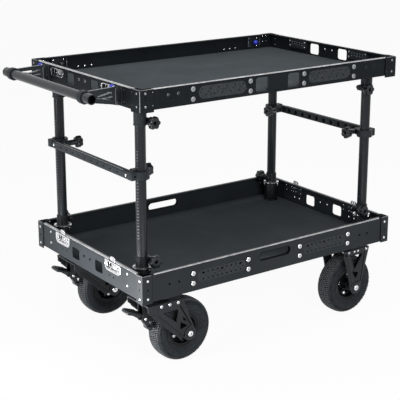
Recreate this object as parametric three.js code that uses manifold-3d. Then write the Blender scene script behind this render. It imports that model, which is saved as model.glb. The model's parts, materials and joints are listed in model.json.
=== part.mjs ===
// Two-tray camera cart on pneumatic casters, with posts, crossbars, folding push handle and latches.
// Millimetres, +Z up, the long side along X, the push handle at the -X end, the floor at zero.
import * as THREE from 'three';
import { mergeVertices } from 'three/addons/utils/BufferGeometryUtils.js';
import Module from 'manifold-3d';

const wasm = await Module();
wasm.setup();

// Fits shared by all pieces
const seatGap = 0.3;
const runningGap = 0.6;
const overrun = 2;
const weldDistance = 0.0001;

// How many flat sides the round shapes have
const facets = { large: 16, wheel: 20, medium: 12, small: 6, corner: 2, arc: 3 };

// Trays
const tray = {
  length: 1200,
  width: 785,
  sheet: 3,
  bracketSheet: 3,
  rimWidth: 18,
  shelfWidth: 18,
  deckSheet: 4,
  matThickness: 5,
  matMargin: 6,
};
const upper = {
  rimZ: 1074.5,
  wallHeight: 73,
  bracketDrop: 7,
  bracketLeg: 57,
  endHeight: 73,
  deckDepth: 65,
  windowBelowRim: 12,
};
const lower = {
  rimZ: 412.5,
  wallHeight: 103,
  bracketDrop: 4,
  bracketLeg: 41,
  endHeight: 94,
  deckDepth: 91,
  windowBelowRim: 31,
};

// Openings in the walls
const windowSize = { width: 54, sideHeight: 51, height: 44, corner: 6, sideSpacingShare: 0.125 };
const endWindow = { widthShare: 0.0688, spacingShare: 0.2217 };
const handSlot = { length: 154, height: 34, belowRim: 37 };
const endHole = { radius: 4.5, spacingShare: 0.056 };
const sideHole = { radius: 4.5, spacing: 42, fromEnd: 138 };

// Butterfly latches in the end walls
const latch = {
  placeShare: 0.2395,
  widthShare: 0.1376,
  height: 34,
  depth: 11,
  skin: 1.5,
  belowRim: 4,
  corner: 5,
  stemRadius: 6,
  stemLength: 5,
  wingLength: 30,
  wingHeight: 15,
  wingThickness: 3,
  wingCorner: 5,
  hookWidth: 34,
  hookHeight: 13,
  hookThickness: 6,
};

// Posts and what holds them
const post = { fromEnd: 62, fromSide: 97.5, radius: 19.5, wall: 3, topBelowDeck: 4, footAboveDeck: 0.3 };
const sleeve = { radius: 23, length: 74, flangeRadius: 34, flangeSheet: 4 };
const socket = { baseRadius: 28, baseHeight: 86, collarRadius: 23, collarHeight: 44 };
const pinch = {
  offset: 29,
  lugWidth: 28,
  lugReach: 10,
  lugHeight: 22,
  boltRadius: 4,
  headRadius: 7,
  headLength: 8,
  upperAboveSleeveFoot: 11,
  lowerAboveSocketBase: 27,
};
const star = { radius: 22, lobes: 6, lobeRadius: 7, thickness: 24, hubRadius: 11, hubLength: 15 };

// Crossbars between the end posts
const bar = { outerFromPost: 43, width: 21, height: 30, wall: 3, heightShare: 0.65625, holeRadius: 6, holes: 10, endMargin: 72 };
const clamp = { ringRadius: 31, height: 26, hubLength: 32, armWidth: 30, armPastPost: 7, lugOffset: 43, lugWidth: 26, lugReach: 12 };

// Push handle
const handle = {
  tubeRadius: 17,
  tubeWall: 2.5,
  tubePastArm: 56,
  tubeFromEnd: 140,
  tubeBelowRim: 26,
  armShare: 0.3363,
  armThickness: 12,
  ringRadius: 22,
  ringWidth: 22,
  tipRise: 3,
  tipRadius: 15,
  chordHeight: 9,
  pivotFromEnd: 16,
  pivotBelowRim: 59,
  pivotRadius: 5,
  eyeRadius: 9,
};
const clevis = { plate: 5, height: 66, footBelowRim: 69, halfWidth: 17, cheek: 5, reach: 24 };
const releasePin = { fromEnd: 15, belowRim: 9.5, radius: 3.5, knobRadius: 9, knobLength: 14, neckRadius: 6, neckLength: 4 };

// Accessory plungers on the far upper wall
const receiver = { fromEnd: 112, width: 66, height: 48, sheet: 3, reach: 16, belowRim: 5 };
const plunger = { offset: 8, below: 24, radius: 10, length: 16, stemRadius: 4, stemLength: 8 };

// Casters
const wheel = { radius: 122.5, width: 80, rimRadius: 59, rimLip: 4, hubRadius: 22, hubHalf: 40, webHalf: 5 };
const tyre = { treadShare: 0.44, shoulderShare: 0.62, bulgeShare: 0.86, innerShare: 0.66 };
const axle = { radius: 8, headRadius: 13, headLength: 8, spacerRadius: 14 };
const channel = { width: 76, height: 20, sheet: 3 };
const caster = { fromEnd: 144, swivelFromSide: 123.5, fixedFromSide: 101.5, trail: 95 };
const castPlate = { length: 124, width: 124, sheet: 6 };
const race = { upperRadius: 38, upperHeight: 14, lowerRadius: 42, lowerHeight: 8 };
const kingPin = { radius: 8, nutRadius: 14, nutHeight: 8 };
const fork = {
  outerHalf: 72,
  plate: 6,
  bossRadius: 27,
  crown: 6,
  swivelFront: -89,
  swivelBack: 64,
  fixedHalf: 68,
  topEdge: 20,
};
const pedal = {
  pivotX: -64,
  pivotZ: 200.5,
  pinRadius: 4,
  thickness: 24,
  cheek: 5,
  eyeRadius: 11,
  toeX: -134,
  toeZ: 237,
  toeThickness: 9,
  toeWidth: 44,
  toeSlopeShare: 0.36,
  shoeX: -44,
  shoeZ: 158,
  shoeRadius: 8,
  shoeWidth: 40,
};

// Places worked out from the sizes above
const roundUp = 1 / Math.cos(Math.PI / facets.wheel);
const boreUp = 1 / Math.cos(Math.PI / facets.small);
const halfLength = tray.length / 2;
const halfWidth = tray.width / 2;
const endFaceX = halfLength - tray.bracketSheet;
const sideFaceY = halfWidth - tray.bracketSheet - seatGap;
const endInnerX = endFaceX - tray.sheet;
const sideInnerY = sideFaceY - tray.sheet;
const upperDeckTop = upper.rimZ - upper.deckDepth;
const lowerDeckTop = lower.rimZ - lower.deckDepth;
const upperDeckFoot = upperDeckTop - tray.deckSheet;
const lowerDeckFoot = lowerDeckTop - tray.deckSheet;
const channelFoot = lowerDeckFoot - channel.height;
const castPlateFoot = channelFoot - castPlate.sheet;
const sleeveFoot = upperDeckFoot - sleeve.length;
const socketTop = lowerDeckTop + socket.baseHeight + socket.collarHeight;
const barTop = socketTop + (sleeveFoot - socketTop) * bar.heightShare;
const postX = halfLength - post.fromEnd;
const postY = halfWidth - post.fromSide;
const latchY = tray.width * latch.placeShare;
const latchWidth = tray.width * latch.widthShare;
const tubeX = -halfLength - handle.tubeFromEnd;
const tubeZ = upper.rimZ - handle.tubeBelowRim;
const pivotX = -halfLength - handle.pivotFromEnd;
const pivotZ = upper.rimZ - handle.pivotBelowRim;
const armY = tray.width * handle.armShare;
const clevisFoot = upper.rimZ - clevis.footBelowRim;
const releaseX = -halfLength - releasePin.fromEnd;
const releaseZ = upper.rimZ - releasePin.belowRim;
const casterX = halfLength - caster.fromEnd;
const swivelY = halfWidth - caster.swivelFromSide;
const fixedY = halfWidth - caster.fixedFromSide;
const forkTop = castPlateFoot - race.upperHeight - seatGap - race.lowerHeight;

// Colours
const finish = {
  black: new THREE.MeshStandardMaterial({ color: 0x24272a, roughness: 0.55, metalness: 0.35 }),
  post: new THREE.MeshStandardMaterial({ color: 0x2b2e31, roughness: 0.45, metalness: 0.5 }),
  mat: new THREE.MeshStandardMaterial({ color: 0x45494c, roughness: 0.95, metalness: 0 }),
  plastic: new THREE.MeshStandardMaterial({ color: 0x1d1f21, roughness: 0.6, metalness: 0 }),
  rubber: new THREE.MeshStandardMaterial({ color: 0x26282a, roughness: 0.85, metalness: 0 }),
  chrome: new THREE.MeshStandardMaterial({ color: 0xc9ccd0, roughness: 0.2, metalness: 1 }),
  blue: new THREE.MeshStandardMaterial({ color: 0x1f35b4, roughness: 0.4, metalness: 0.1 }),
  tube: new THREE.MeshStandardMaterial({ color: 0x3a3d40, roughness: 0.4, metalness: 0.6 }),
};
const model = new THREE.Group();

// Joining and cutting
function solid(geometry) {
  const bare = geometry.index ? geometry.toNonIndexed() : geometry.clone();
  bare.deleteAttribute('normal');
  bare.deleteAttribute('uv');
  const merged = mergeVertices(bare, weldDistance);
  return new wasm.Manifold(new wasm.Mesh({
    numProp: 3,
    vertProperties: new Float32Array(merged.attributes.position.array),
    triVerts: new Uint32Array(merged.index.array),
  }));
}

function join(parts) {
  return parts.reduce((body, part) => body.add(part));
}

function cut(body, tools) {
  return tools.reduce((rest, tool) => rest.subtract(tool), body);
}

function addNode(name, body, material, place = [0, 0, 0]) {
  const raw = body.getMesh();
  const geometry = new THREE.BufferGeometry();
  geometry.setAttribute('position', new THREE.BufferAttribute(new Float32Array(raw.vertProperties), 3));
  geometry.setIndex(new THREE.BufferAttribute(new Uint32Array(raw.triVerts), 1));
  geometry.computeVertexNormals();
  const mesh = new THREE.Mesh(geometry, material);
  mesh.name = name;
  mesh.position.set(...place);
  model.add(mesh);
  return mesh;
}

// Simple solids
function block(x0, x1, y0, y1, z0, z1) {
  const geometry = new THREE.BoxGeometry(Math.abs(x1 - x0), Math.abs(y1 - y0), Math.abs(z1 - z0));
  geometry.translate((x0 + x1) / 2, (y0 + y1) / 2, (z0 + z1) / 2);
  return solid(geometry);
}

function rod(axis, radius, start, end, centre, sides = facets.large) {
  const length = Math.abs(end - start);
  const middle = (start + end) / 2;
  const geometry = new THREE.CylinderGeometry(radius, radius, length, sides);
  if (axis === 'x') {
    geometry.rotateZ(Math.PI / 2);
    geometry.translate(middle, centre[0], centre[1]);
  } else if (axis === 'y') {
    geometry.translate(centre[0], middle, centre[1]);
  } else {
    geometry.rotateX(Math.PI / 2);
    geometry.translate(centre[0], centre[1], middle);
  }
  return solid(geometry);
}

// An outline in X and Z, given a thickness along Y
function plateXZ(shape, y0, y1, sides = facets.arc) {
  const geometry = new THREE.ExtrudeGeometry(shape, {
    depth: Math.abs(y1 - y0),
    bevelEnabled: false,
    curveSegments: sides,
  });
  geometry.rotateX(Math.PI / 2);
  geometry.translate(0, Math.max(y0, y1), 0);
  return solid(geometry);
}

// An outline in Y and Z, given a thickness along X
function plateYZ(shape, x0, x1, sides = facets.arc) {
  const geometry = new THREE.ExtrudeGeometry(shape, {
    depth: Math.abs(x1 - x0),
    bevelEnabled: false,
    curveSegments: sides,
  });
  geometry.rotateX(Math.PI / 2);
  geometry.rotateZ(Math.PI / 2);
  geometry.translate(Math.min(x0, x1), 0, 0);
  return solid(geometry);
}

// A rectangle with round corners about a centre
function roundRect(u, v, width, height, corner) {
  const shape = new THREE.Shape();
  const left = u - width / 2;
  const right = u + width / 2;
  const foot = v - height / 2;
  const top = v + height / 2;
  shape.moveTo(left + corner, foot);
  shape.lineTo(right - corner, foot);
  shape.absarc(right - corner, foot + corner, corner, -Math.PI / 2, 0, false);
  shape.lineTo(right, top - corner);
  shape.absarc(right - corner, top - corner, corner, 0, Math.PI / 2, false);
  shape.lineTo(left + corner, top);
  shape.absarc(left + corner, top - corner, corner, Math.PI / 2, Math.PI, false);
  shape.lineTo(left, foot + corner);
  shape.absarc(left + corner, foot + corner, corner, Math.PI, Math.PI * 1.5, false);
  return shape;
}

function polygon(points) {
  const shape = new THREE.Shape();
  points.forEach(([u, v], index) => (index ? shape.lineTo(u, v) : shape.moveTo(u, v)));
  shape.closePath();
  return shape;
}

// The outline round several circles of [u, v, radius], like a belt round pulleys, in the order given
function beltShape(circles, steps = facets.arc) {
  const points = [];
  const count = circles.length;
  for (let index = 0; index < count; index += 1) {
    const [u, v, radius] = circles[index];
    const before = circles[(index + count - 1) % count];
    const after = circles[(index + 1) % count];
    const start = tangentAngle(before, circles[index]);
    let end = tangentAngle(circles[index], after);
    while (end < start) end += Math.PI * 2;
    for (let step = 0; step <= steps; step += 1) {
      const angle = start + (end - start) * (step / steps);
      points.push([u + radius * Math.cos(angle), v + radius * Math.sin(angle)]);
    }
  }
  return polygon(points);
}

// The direction of the outer tangent's normal from one circle to the next, turning left
function tangentAngle(from, to) {
  const du = to[0] - from[0];
  const dv = to[1] - from[1];
  const distance = Math.hypot(du, dv);
  const along = Math.atan2(dv, du);
  return along - Math.PI / 2 + Math.asin((to[2] - from[2]) / distance);
}

// Long wall of a tray: sheet, rim, shelf under the deck, windows and holes
function sideWall(level, side, opening) {
  const outer = side * sideFaceY;
  const inner = side * sideInnerY;
  const rimInner = side * (sideFaceY - tray.rimWidth);
  const shelfInner = side * (sideFaceY - tray.shelfWidth);
  const end = endInnerX - seatGap;
  const foot = level.rimZ - level.wallHeight;
  const shelfTop = level.rimZ - level.deckDepth - tray.deckSheet - seatGap;
  const wall = join([
    block(-end, end, inner, outer, foot, level.rimZ),
    block(-end, end, rimInner, outer, level.rimZ - tray.sheet, level.rimZ),
    block(-end, end, shelfInner, outer, shelfTop - tray.sheet, shelfTop),
  ]);
  const through = [outer + side * overrun, inner - side * overrun];
  const tools = [];
  if (opening === 'windows') {
    const windowZ = level.rimZ - level.windowBelowRim - windowSize.sideHeight / 2;
    for (const way of [-1, 1]) {
      const u = way * tray.length * windowSize.sideSpacingShare / 2;
      const shape = roundRect(u, windowZ, windowSize.width, windowSize.sideHeight, windowSize.corner);
      tools.push(plateXZ(shape, ...through, facets.corner));
    }
  } else if (opening === 'slot') {
    const slotZ = level.rimZ - handSlot.belowRim;
    const shape = roundRect(0, slotZ, handSlot.length, handSlot.height, handSlot.height / 2);
    tools.push(plateXZ(shape, ...through));
  }
  const holeZ = level.rimZ - level.wallHeight / 2 + (opening === 'windows' ? sideHole.radius * 2 : 0);
  for (const way of side < 0 ? [-1, 1] : []) {
    for (const shift of [-1, 1]) {
      const u = way * (halfLength - sideHole.fromEnd) + shift * sideHole.spacing / 2;
      tools.push(rod('y', sideHole.radius, ...through, [u, holeZ], facets.small));
    }
  }
  return cut(wall, tools);
}

// End wall of a tray with its two corner brackets, windows, holes and latch dishes
function endWall(level, side) {
  const outer = side * endFaceX;
  const inner = side * endInnerX;
  const foot = level.rimZ - level.endHeight;
  const innerEnd = sideFaceY - tray.rimWidth - seatGap;
  const shelfTop = level.rimZ - level.deckDepth - tray.deckSheet - seatGap;
  const rimInner = side * (endFaceX - tray.rimWidth);
  const parts = [
    block(inner, outer, -sideFaceY, sideFaceY, foot, level.rimZ),
    block(rimInner, outer, -innerEnd, innerEnd, level.rimZ - tray.sheet, level.rimZ),
    block(rimInner, outer, -innerEnd, innerEnd, shelfTop - tray.sheet, shelfTop),
  ];
  const bracketFoot = level.rimZ - level.wallHeight - level.bracketDrop;
  for (const way of [-1, 1]) {
    const cornerY = way * halfWidth;
    const legY = way * (halfWidth - level.bracketLeg);
    const legX = side * (halfLength - level.bracketLeg);
    parts.push(block(outer, side * halfLength, legY, cornerY, bracketFoot, level.rimZ));
    const faceY = way * (halfWidth - tray.bracketSheet);
    parts.push(block(legX, side * halfLength, faceY, cornerY, bracketFoot, level.rimZ));
  }
  const through = [outer + side * (tray.bracketSheet + overrun), inner - side * overrun];
  const tools = [];
  const windowZ = level.rimZ - level.windowBelowRim - windowSize.height / 2;
  const holeZ = level.rimZ - level.windowBelowRim - windowSize.height / 2 + endHole.radius * 2;
  for (const way of [-1, 1]) {
    const windowY = way * tray.width * endWindow.spacingShare / 2;
    const windowWidth = tray.width * endWindow.widthShare;
    const holeY = way * tray.width * endHole.spacingShare / 2;
    const shape = roundRect(windowY, windowZ, windowWidth, windowSize.height, windowSize.corner);
    tools.push(plateYZ(shape, ...through, facets.corner));
    tools.push(rod('x', endHole.radius, ...through, [holeY, holeZ], facets.small));
  }
  const dishes = [];
  for (const way of [-1, 1]) {
    const centreY = way * latchY;
    const centreZ = latchCentreZ(level);
    const back = side * (endFaceX - latch.depth);
    const hollow = roundRect(centreY, centreZ, latchWidth, latch.height, latch.corner);
    const shellShape = roundRect(
      centreY,
      centreZ,
      latchWidth + latch.skin * 2,
      latch.height + latch.skin * 2,
      latch.corner + latch.skin,
    );
    const dishFace = outer;
    const dish = plateYZ(shellShape, back - side * latch.skin, dishFace, 1);
    tools.push(plateYZ(hollow, back, outer + side * overrun, 1));
    dishes.push(dish);
    if (level === lower) {
      const hookY = [centreY - latch.hookWidth / 2, centreY + latch.hookWidth / 2];
      dishes.push(block(inner, inner + side * latch.hookThickness, ...hookY, level.rimZ - overrun,
        level.rimZ + latch.hookHeight));
    }
  }
  return cut(join([...parts, ...dishes]), tools);
}

function latchCentreZ(level) {
  return level.rimZ - tray.sheet - latch.belowRim - latch.height / 2;
}

// The turning wing of a butterfly latch, on its stem in the dish
function latchWing(side) {
  const back = side * (endFaceX - latch.depth + seatGap);
  const stemEnd = back + side * latch.stemLength;
  const face = stemEnd + side * latch.wingThickness;
  const shape = roundRect(0, 0, latch.wingLength, latch.wingHeight, latch.wingCorner);
  return join([
    rod('x', latch.stemRadius, back, stemEnd + side * latch.wingThickness / 2, [0, 0], facets.small),
    plateYZ(shape, stemEnd, face, facets.corner),
  ]);
}

// A deck with its sleeves or sockets
function upperDeck() {
  const parts = [
    block(-endInnerX + seatGap, endInnerX - seatGap, -sideInnerY + seatGap, sideInnerY - seatGap,
      upperDeckFoot, upperDeckTop),
  ];
  const tools = [];
  for (const sx of [-1, 1]) {
    for (const sy of [-1, 1]) {
      const centre = [sx * postX, sy * postY];
      parts.push(rod('z', sleeve.radius, sleeveFoot, upperDeckFoot + overrun, centre, facets.large));
      parts.push(rod('z', sleeve.flangeRadius, upperDeckFoot - sleeve.flangeSheet, upperDeckFoot + overrun,
        centre, facets.large));
      parts.push(pinchLug(sx, sy, sleeveFoot + pinch.upperAboveSleeveFoot, sleeve.radius));
      tools.push(rod('z', post.radius + seatGap, sleeveFoot - overrun, upperDeckFoot, centre, facets.large));
      tools.push(pinchBore(sx, sy, sleeveFoot + pinch.upperAboveSleeveFoot));
    }
  }
  return cut(join(parts), tools);
}

function lowerDeck() {
  const parts = [
    block(-endInnerX + seatGap, endInnerX - seatGap, -sideInnerY + seatGap, sideInnerY - seatGap,
      lowerDeckFoot, lowerDeckTop),
  ];
  const tools = [];
  const collarFoot = lowerDeckTop + socket.baseHeight;
  const knobZ = collarFoot + pinch.lowerAboveSocketBase;
  for (const sx of [-1, 1]) {
    const channelX = sx * casterX;
    const reach = sideFaceY - tray.shelfWidth - seatGap;
    const halfChannel = channel.width / 2;
    parts.push(block(channelX - halfChannel, channelX + halfChannel, -reach, reach, channelFoot,
      lowerDeckFoot + overrun));
    tools.push(block(channelX - halfChannel + channel.sheet, channelX + halfChannel - channel.sheet,
      -reach - overrun, reach + overrun, channelFoot + channel.sheet, lowerDeckFoot));
    for (const sy of [-1, 1]) {
      const centre = [sx * postX, sy * postY];
      parts.push(rod('z', socket.baseRadius, lowerDeckTop - overrun, collarFoot, centre, facets.large));
      parts.push(rod('z', socket.collarRadius, collarFoot - overrun, socketTop, centre, facets.large));
      parts.push(pinchLug(sx, sy, knobZ, socket.collarRadius));
      tools.push(rod('z', post.radius + seatGap, lowerDeckTop, socketTop + overrun, centre, facets.large));
      tools.push(pinchBore(sx, sy, knobZ));
    }
  }
  for (const sy of [-1, 1]) {
    parts.push(...swivelMount(-casterX, sy * swivelY));
  }
  return cut(join(parts), tools);
}

// Mounting plate, upper race and king pin of a swivel caster, fixed under the lower deck
function swivelMount(x, y) {
  const raceFoot = castPlateFoot - race.upperHeight;
  const nutTop = forkTop - fork.crown - seatGap;
  return [
    block(x - castPlate.length / 2, x + castPlate.length / 2, y - castPlate.width / 2,
      y + castPlate.width / 2, castPlateFoot, channelFoot + overrun / 2),
    rod('z', race.upperRadius, raceFoot, castPlateFoot + overrun, [x, y], facets.large),
    rod('z', kingPin.radius, nutTop - kingPin.nutHeight, raceFoot + overrun, [x, y], facets.medium),
    rod('z', kingPin.nutRadius, nutTop - kingPin.nutHeight, nutTop, [x, y], 6),
  ];
}

// The pinch lug on the inner side of a sleeve or collar, and the bolt's way through it
function pinchLug(sx, sy, z, radius) {
  const x = sx * postX;
  const y = sy * postY;
  const far = x - sx * (pinch.offset + pinch.lugReach);
  return block(x - sx * (radius - tray.sheet), far, y - pinch.lugWidth / 2, y + pinch.lugWidth / 2,
    z - pinch.lugHeight / 2, z + pinch.lugHeight / 2);
}

function pinchBore(sx, sy, z) {
  const x = sx * (postX - pinch.offset);
  const y = sy * postY;
  const reach = pinch.lugWidth / 2 + overrun;
  return rod('y', (pinch.boltRadius + seatGap) * boreUp, y - reach, y + reach, [x, z], facets.small);
}

// A star knob with its pinch bolt and nut: the lug's middle is the origin, the knob along +Z
function starKnob(lugHalf, hubLength) {
  const shape = new THREE.Shape();
  const steps = star.lobes * 4;
  for (let step = 0; step < steps; step += 1) {
    const angle = (step / steps) * Math.PI * 2;
    const wave = (1 + Math.cos(angle * star.lobes)) / 2;
    const radius = star.radius - star.lobeRadius / 2 * (1 - wave);
    const u = radius * Math.cos(angle);
    const v = radius * Math.sin(angle);
    if (step) shape.lineTo(u, v);
    else shape.moveTo(u, v);
  }
  shape.closePath();
  const hubFoot = lugHalf + seatGap;
  const headFoot = hubFoot + hubLength;
  const geometry = new THREE.ExtrudeGeometry(shape, { depth: star.thickness, bevelEnabled: false });
  geometry.translate(0, 0, headFoot);
  const nutTop = -lugHalf - seatGap;
  return join([
    solid(geometry),
    rod('z', star.hubRadius, hubFoot, headFoot + overrun, [0, 0], facets.small),
    rod('z', pinch.boltRadius, nutTop - overrun, hubFoot + overrun, [0, 0], facets.small),
    rod('z', pinch.headRadius, nutTop - pinch.headLength, nutTop, [0, 0], 6),
  ]);
}

// A mat inside a tray, cut clear of the sockets
function matSheet(deckTop, sockets) {
  const halfX = endInnerX - tray.matMargin;
  const halfY = sideInnerY - tray.matMargin;
  const mat = block(-halfX, halfX, -halfY, halfY, deckTop + seatGap, deckTop + seatGap + tray.matThickness);
  if (!sockets) return mat;
  const tools = [];
  for (const sx of [-1, 1]) {
    for (const sy of [-1, 1]) {
      tools.push(rod('z', socket.baseRadius + runningGap, deckTop - overrun,
        deckTop + tray.matThickness + overrun, [sx * postX, sy * postY], facets.large));
    }
  }
  return cut(mat, tools);
}

// A post: a tube from the socket up into the sleeve
function postTube(sx, sy) {
  const centre = [sx * postX, sy * postY];
  const foot = lowerDeckTop + post.footAboveDeck;
  const top = upperDeckFoot - post.topBelowDeck;
  return cut(rod('z', post.radius, foot, top, centre, facets.large), [
    rod('z', post.radius - post.wall, foot - overrun, top + overrun, centre, facets.medium),
  ]);
}

// A crossbar with its two post clamps
function crossbar(side) {
  const middleX = side * postX;
  const outer = middleX + side * bar.outerFromPost;
  const inner = outer - side * bar.width;
  const foot = barTop - bar.height;
  const barHalf = postY - clamp.ringRadius + clamp.armWidth / 2;
  const clampFoot = barTop - clamp.height;
  const parts = [block(inner, outer, -barHalf, barHalf, foot, barTop)];
  const tools = [
    block(inner - side * overrun, outer - side * bar.wall, -barHalf + clamp.armWidth,
      barHalf - clamp.armWidth, foot + bar.wall, barTop - bar.wall),
  ];
  for (const sy of [-1, 1]) {
    const middleY = sy * postY;
    parts.push(rod('z', clamp.ringRadius, clampFoot, barTop, [middleX, middleY], facets.large));
    parts.push(block(middleX, outer, middleY - clamp.armWidth / 2, sy * (postY + clamp.armPastPost), clampFoot, barTop));
    const lugFar = sy * (postY - clamp.lugOffset - clamp.lugReach);
    parts.push(block(middleX - clamp.lugWidth / 2, middleX + clamp.lugWidth / 2, middleY, lugFar, clampFoot,
      barTop));
    tools.push(rod('z', post.radius + seatGap, clampFoot - overrun, barTop + overrun, [middleX, middleY], facets.large));
    const boreY = sy * (postY - clamp.lugOffset);
    const boreReach = clamp.lugWidth / 2 + overrun;
    tools.push(rod('x', (pinch.boltRadius + seatGap) * boreUp, middleX - boreReach, middleX + boreReach,
      [boreY, barTop - clamp.height / 2], facets.small));
  }
  const holeZ = barTop - bar.height / 2;
  const pitch = (barHalf - bar.endMargin) * 2 / (bar.holes - 1);
  for (let index = 0; index < bar.holes; index += 1) {
    const y = (index - (bar.holes - 1) / 2) * pitch;
    tools.push(rod('x', bar.holeRadius, outer + side * overrun, outer - side * (bar.wall + overrun),
      [y, holeZ], facets.small));
  }
  return cut(join(parts), tools);
}

// Push handle
function handleTube() {
  const half = armY + handle.tubePastArm;
  const centre = [tubeX, tubeZ];
  return cut(rod('y', handle.tubeRadius, -half, half, centre, facets.large), [
    rod('y', handle.tubeRadius - handle.tubeWall, -half - overrun, half + overrun, centre, facets.large),
  ]);
}

function handleArm(sy) {
  const middle = sy * armY;
  const y0 = middle - handle.armThickness / 2;
  const y1 = middle + handle.armThickness / 2;
  const reachTop = releaseZ;
  const outline = beltShape([
    [pivotX, pivotZ, handle.eyeRadius],
    [pivotX, reachTop, handle.eyeRadius - handle.armThickness / 4],
    [tubeX, tubeZ + handle.tipRise, handle.tipRadius],
  ]);
  const inset = handle.chordHeight;
  const rootX = pivotX - handle.eyeRadius - inset / 2;
  const tipX = tubeX + handle.ringRadius + inset;
  const windowShape = polygon([
    [rootX, pivotZ + inset],
    [rootX, reachTop - inset],
    [tipX, tubeZ + inset / 2],
    [tipX, tubeZ - inset / 2],
  ]);
  const ringHalf = handle.ringWidth / 2;
  const centre = [tubeX, tubeZ];
  const arm = join([
    plateXZ(outline, y0, y1),
    rod('y', handle.ringRadius, middle - ringHalf, middle + ringHalf, centre, facets.large),
  ]);
  return cut(arm, [
    plateXZ(windowShape, y0 - overrun, y1 + overrun),
    rod('y', handle.tubeRadius + seatGap, middle - ringHalf - overrun, middle + ringHalf + overrun, centre, facets.large),
    rod('y', handle.pivotRadius + seatGap, y0 - overrun, y1 + overrun, [pivotX, pivotZ], facets.medium),
    rod('y', (releasePin.radius + seatGap) * boreUp, y0 - overrun, y1 + overrun, [releaseX, releaseZ], facets.small),
  ]);
}

// The two-cheeked bracket that carries an arm, fixed to the end wall
function clevisBracket(sy) {
  const middle = sy * armY;
  const back = -endFaceX;
  const face = back - clevis.plate;
  const top = clevisFoot + clevis.height;
  const inner = handle.armThickness / 2 + runningGap;
  const parts = [block(back + overrun / 2, face, middle - clevis.halfWidth, middle + clevis.halfWidth,
    clevisFoot, top)];
  const tools = [];
  for (const way of [-1, 1]) {
    parts.push(block(back, face - clevis.reach + clevis.plate, middle + way * inner,
      middle + way * (inner + clevis.cheek), clevisFoot, top));
  }
  const reach = inner + clevis.cheek;
  parts.push(rod('y', handle.pivotRadius, middle - reach, middle + reach, [pivotX, pivotZ], facets.medium));
  tools.push(rod('y', (releasePin.radius + seatGap) * boreUp, middle, middle + reach + overrun,
    [releaseX, releaseZ], facets.small));
  return { parts, tools };
}

// A blue release pin: its pin lies in the +Y cheek, the knob stands outside it
function releaseKnob(sy) {
  const middle = sy * armY;
  const inner = middle + handle.armThickness / 2 + runningGap;
  const outside = inner + clevis.cheek + seatGap;
  const centre = [releaseX, releaseZ];
  const neckEnd = outside + releasePin.neckLength;
  return join([
    rod('y', releasePin.radius, inner, outside + overrun / 2, centre, facets.small),
    rod('y', releasePin.neckRadius, outside, neckEnd, centre, facets.small),
    rod('y', releasePin.knobRadius, neckEnd - overrun / 2, neckEnd + releasePin.knobLength, centre, facets.medium),
  ]);
}

// Accessory brackets on the inside of the far upper wall, each with a plunger
function receiverBracket(sx) {
  const x = sx * (halfLength - receiver.fromEnd);
  const top = upper.rimZ - tray.sheet - receiver.belowRim;
  const foot = top - receiver.height;
  const y1 = sideInnerY + overrun / 2;
  const y0 = sideInnerY - receiver.reach;
  const half = receiver.width / 2;
  const boss = plungerPlace(sx);
  const parts = [
    block(x - half, x + half, sideInnerY - receiver.sheet, y1, foot, top),
    block(x - half, x - half + receiver.sheet, y0, y1, foot, top),
    block(x + half - receiver.sheet, x + half, y0, y1, foot, top),
    rod('y', plunger.radius, sideInnerY - receiver.sheet - plunger.stemLength, sideInnerY, boss, facets.medium),
  ];
  const tools = [
    rod('y', (plunger.stemRadius + seatGap) * boreUp, y0 - overrun, sideInnerY - receiver.sheet, boss, facets.small),
  ];
  return { parts, tools };
}

function plungerPlace(sx) {
  const top = upper.rimZ - tray.sheet - receiver.belowRim;
  return [sx * (halfLength - receiver.fromEnd) + plunger.offset, top - plunger.below];
}

function plungerKnob(sx) {
  const bossFace = sideInnerY - receiver.sheet - plunger.stemLength;
  const headBack = bossFace - seatGap;
  const centre = plungerPlace(sx);
  return join([
    rod('y', plunger.stemRadius, headBack - overrun, bossFace + plunger.stemLength - overrun, centre, facets.small),
    rod('y', plunger.radius, headBack - plunger.length, headBack, centre, facets.medium),
  ]);
}

// A wheel about its own centre, the axle along Y
function latheY(points, sections) {
  const geometry = new THREE.LatheGeometry(points.map(([r, y]) => new THREE.Vector2(r, y)), sections);
  geometry.rotateY(Math.PI / sections);
  return solid(geometry);
}

function rimSolid() {
  const half = wheel.width / 2;
  const seat = wheel.rimRadius - wheel.rimLip;
  const lip = wheel.rimRadius;
  const bore = axle.radius + runningGap;
  const innerWall = seat - wheel.rimLip;
  const seatHalf = half * tyre.innerShare;
  const profile = [
    [bore, -wheel.hubHalf], [wheel.hubRadius, -wheel.hubHalf], [wheel.hubRadius, -wheel.webHalf],
    [innerWall, -wheel.webHalf], [innerWall, -seatHalf], [lip, -seatHalf], [lip, -seatHalf + wheel.rimLip],
    [seat, -seatHalf + wheel.rimLip], [seat, seatHalf - wheel.rimLip], [lip, seatHalf - wheel.rimLip],
    [lip, seatHalf], [innerWall, seatHalf], [innerWall, wheel.webHalf], [wheel.hubRadius, wheel.webHalf],
    [wheel.hubRadius, wheel.hubHalf], [bore, wheel.hubHalf], [bore, -wheel.hubHalf],
  ];
  return latheY(profile, facets.wheel);
}

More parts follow.
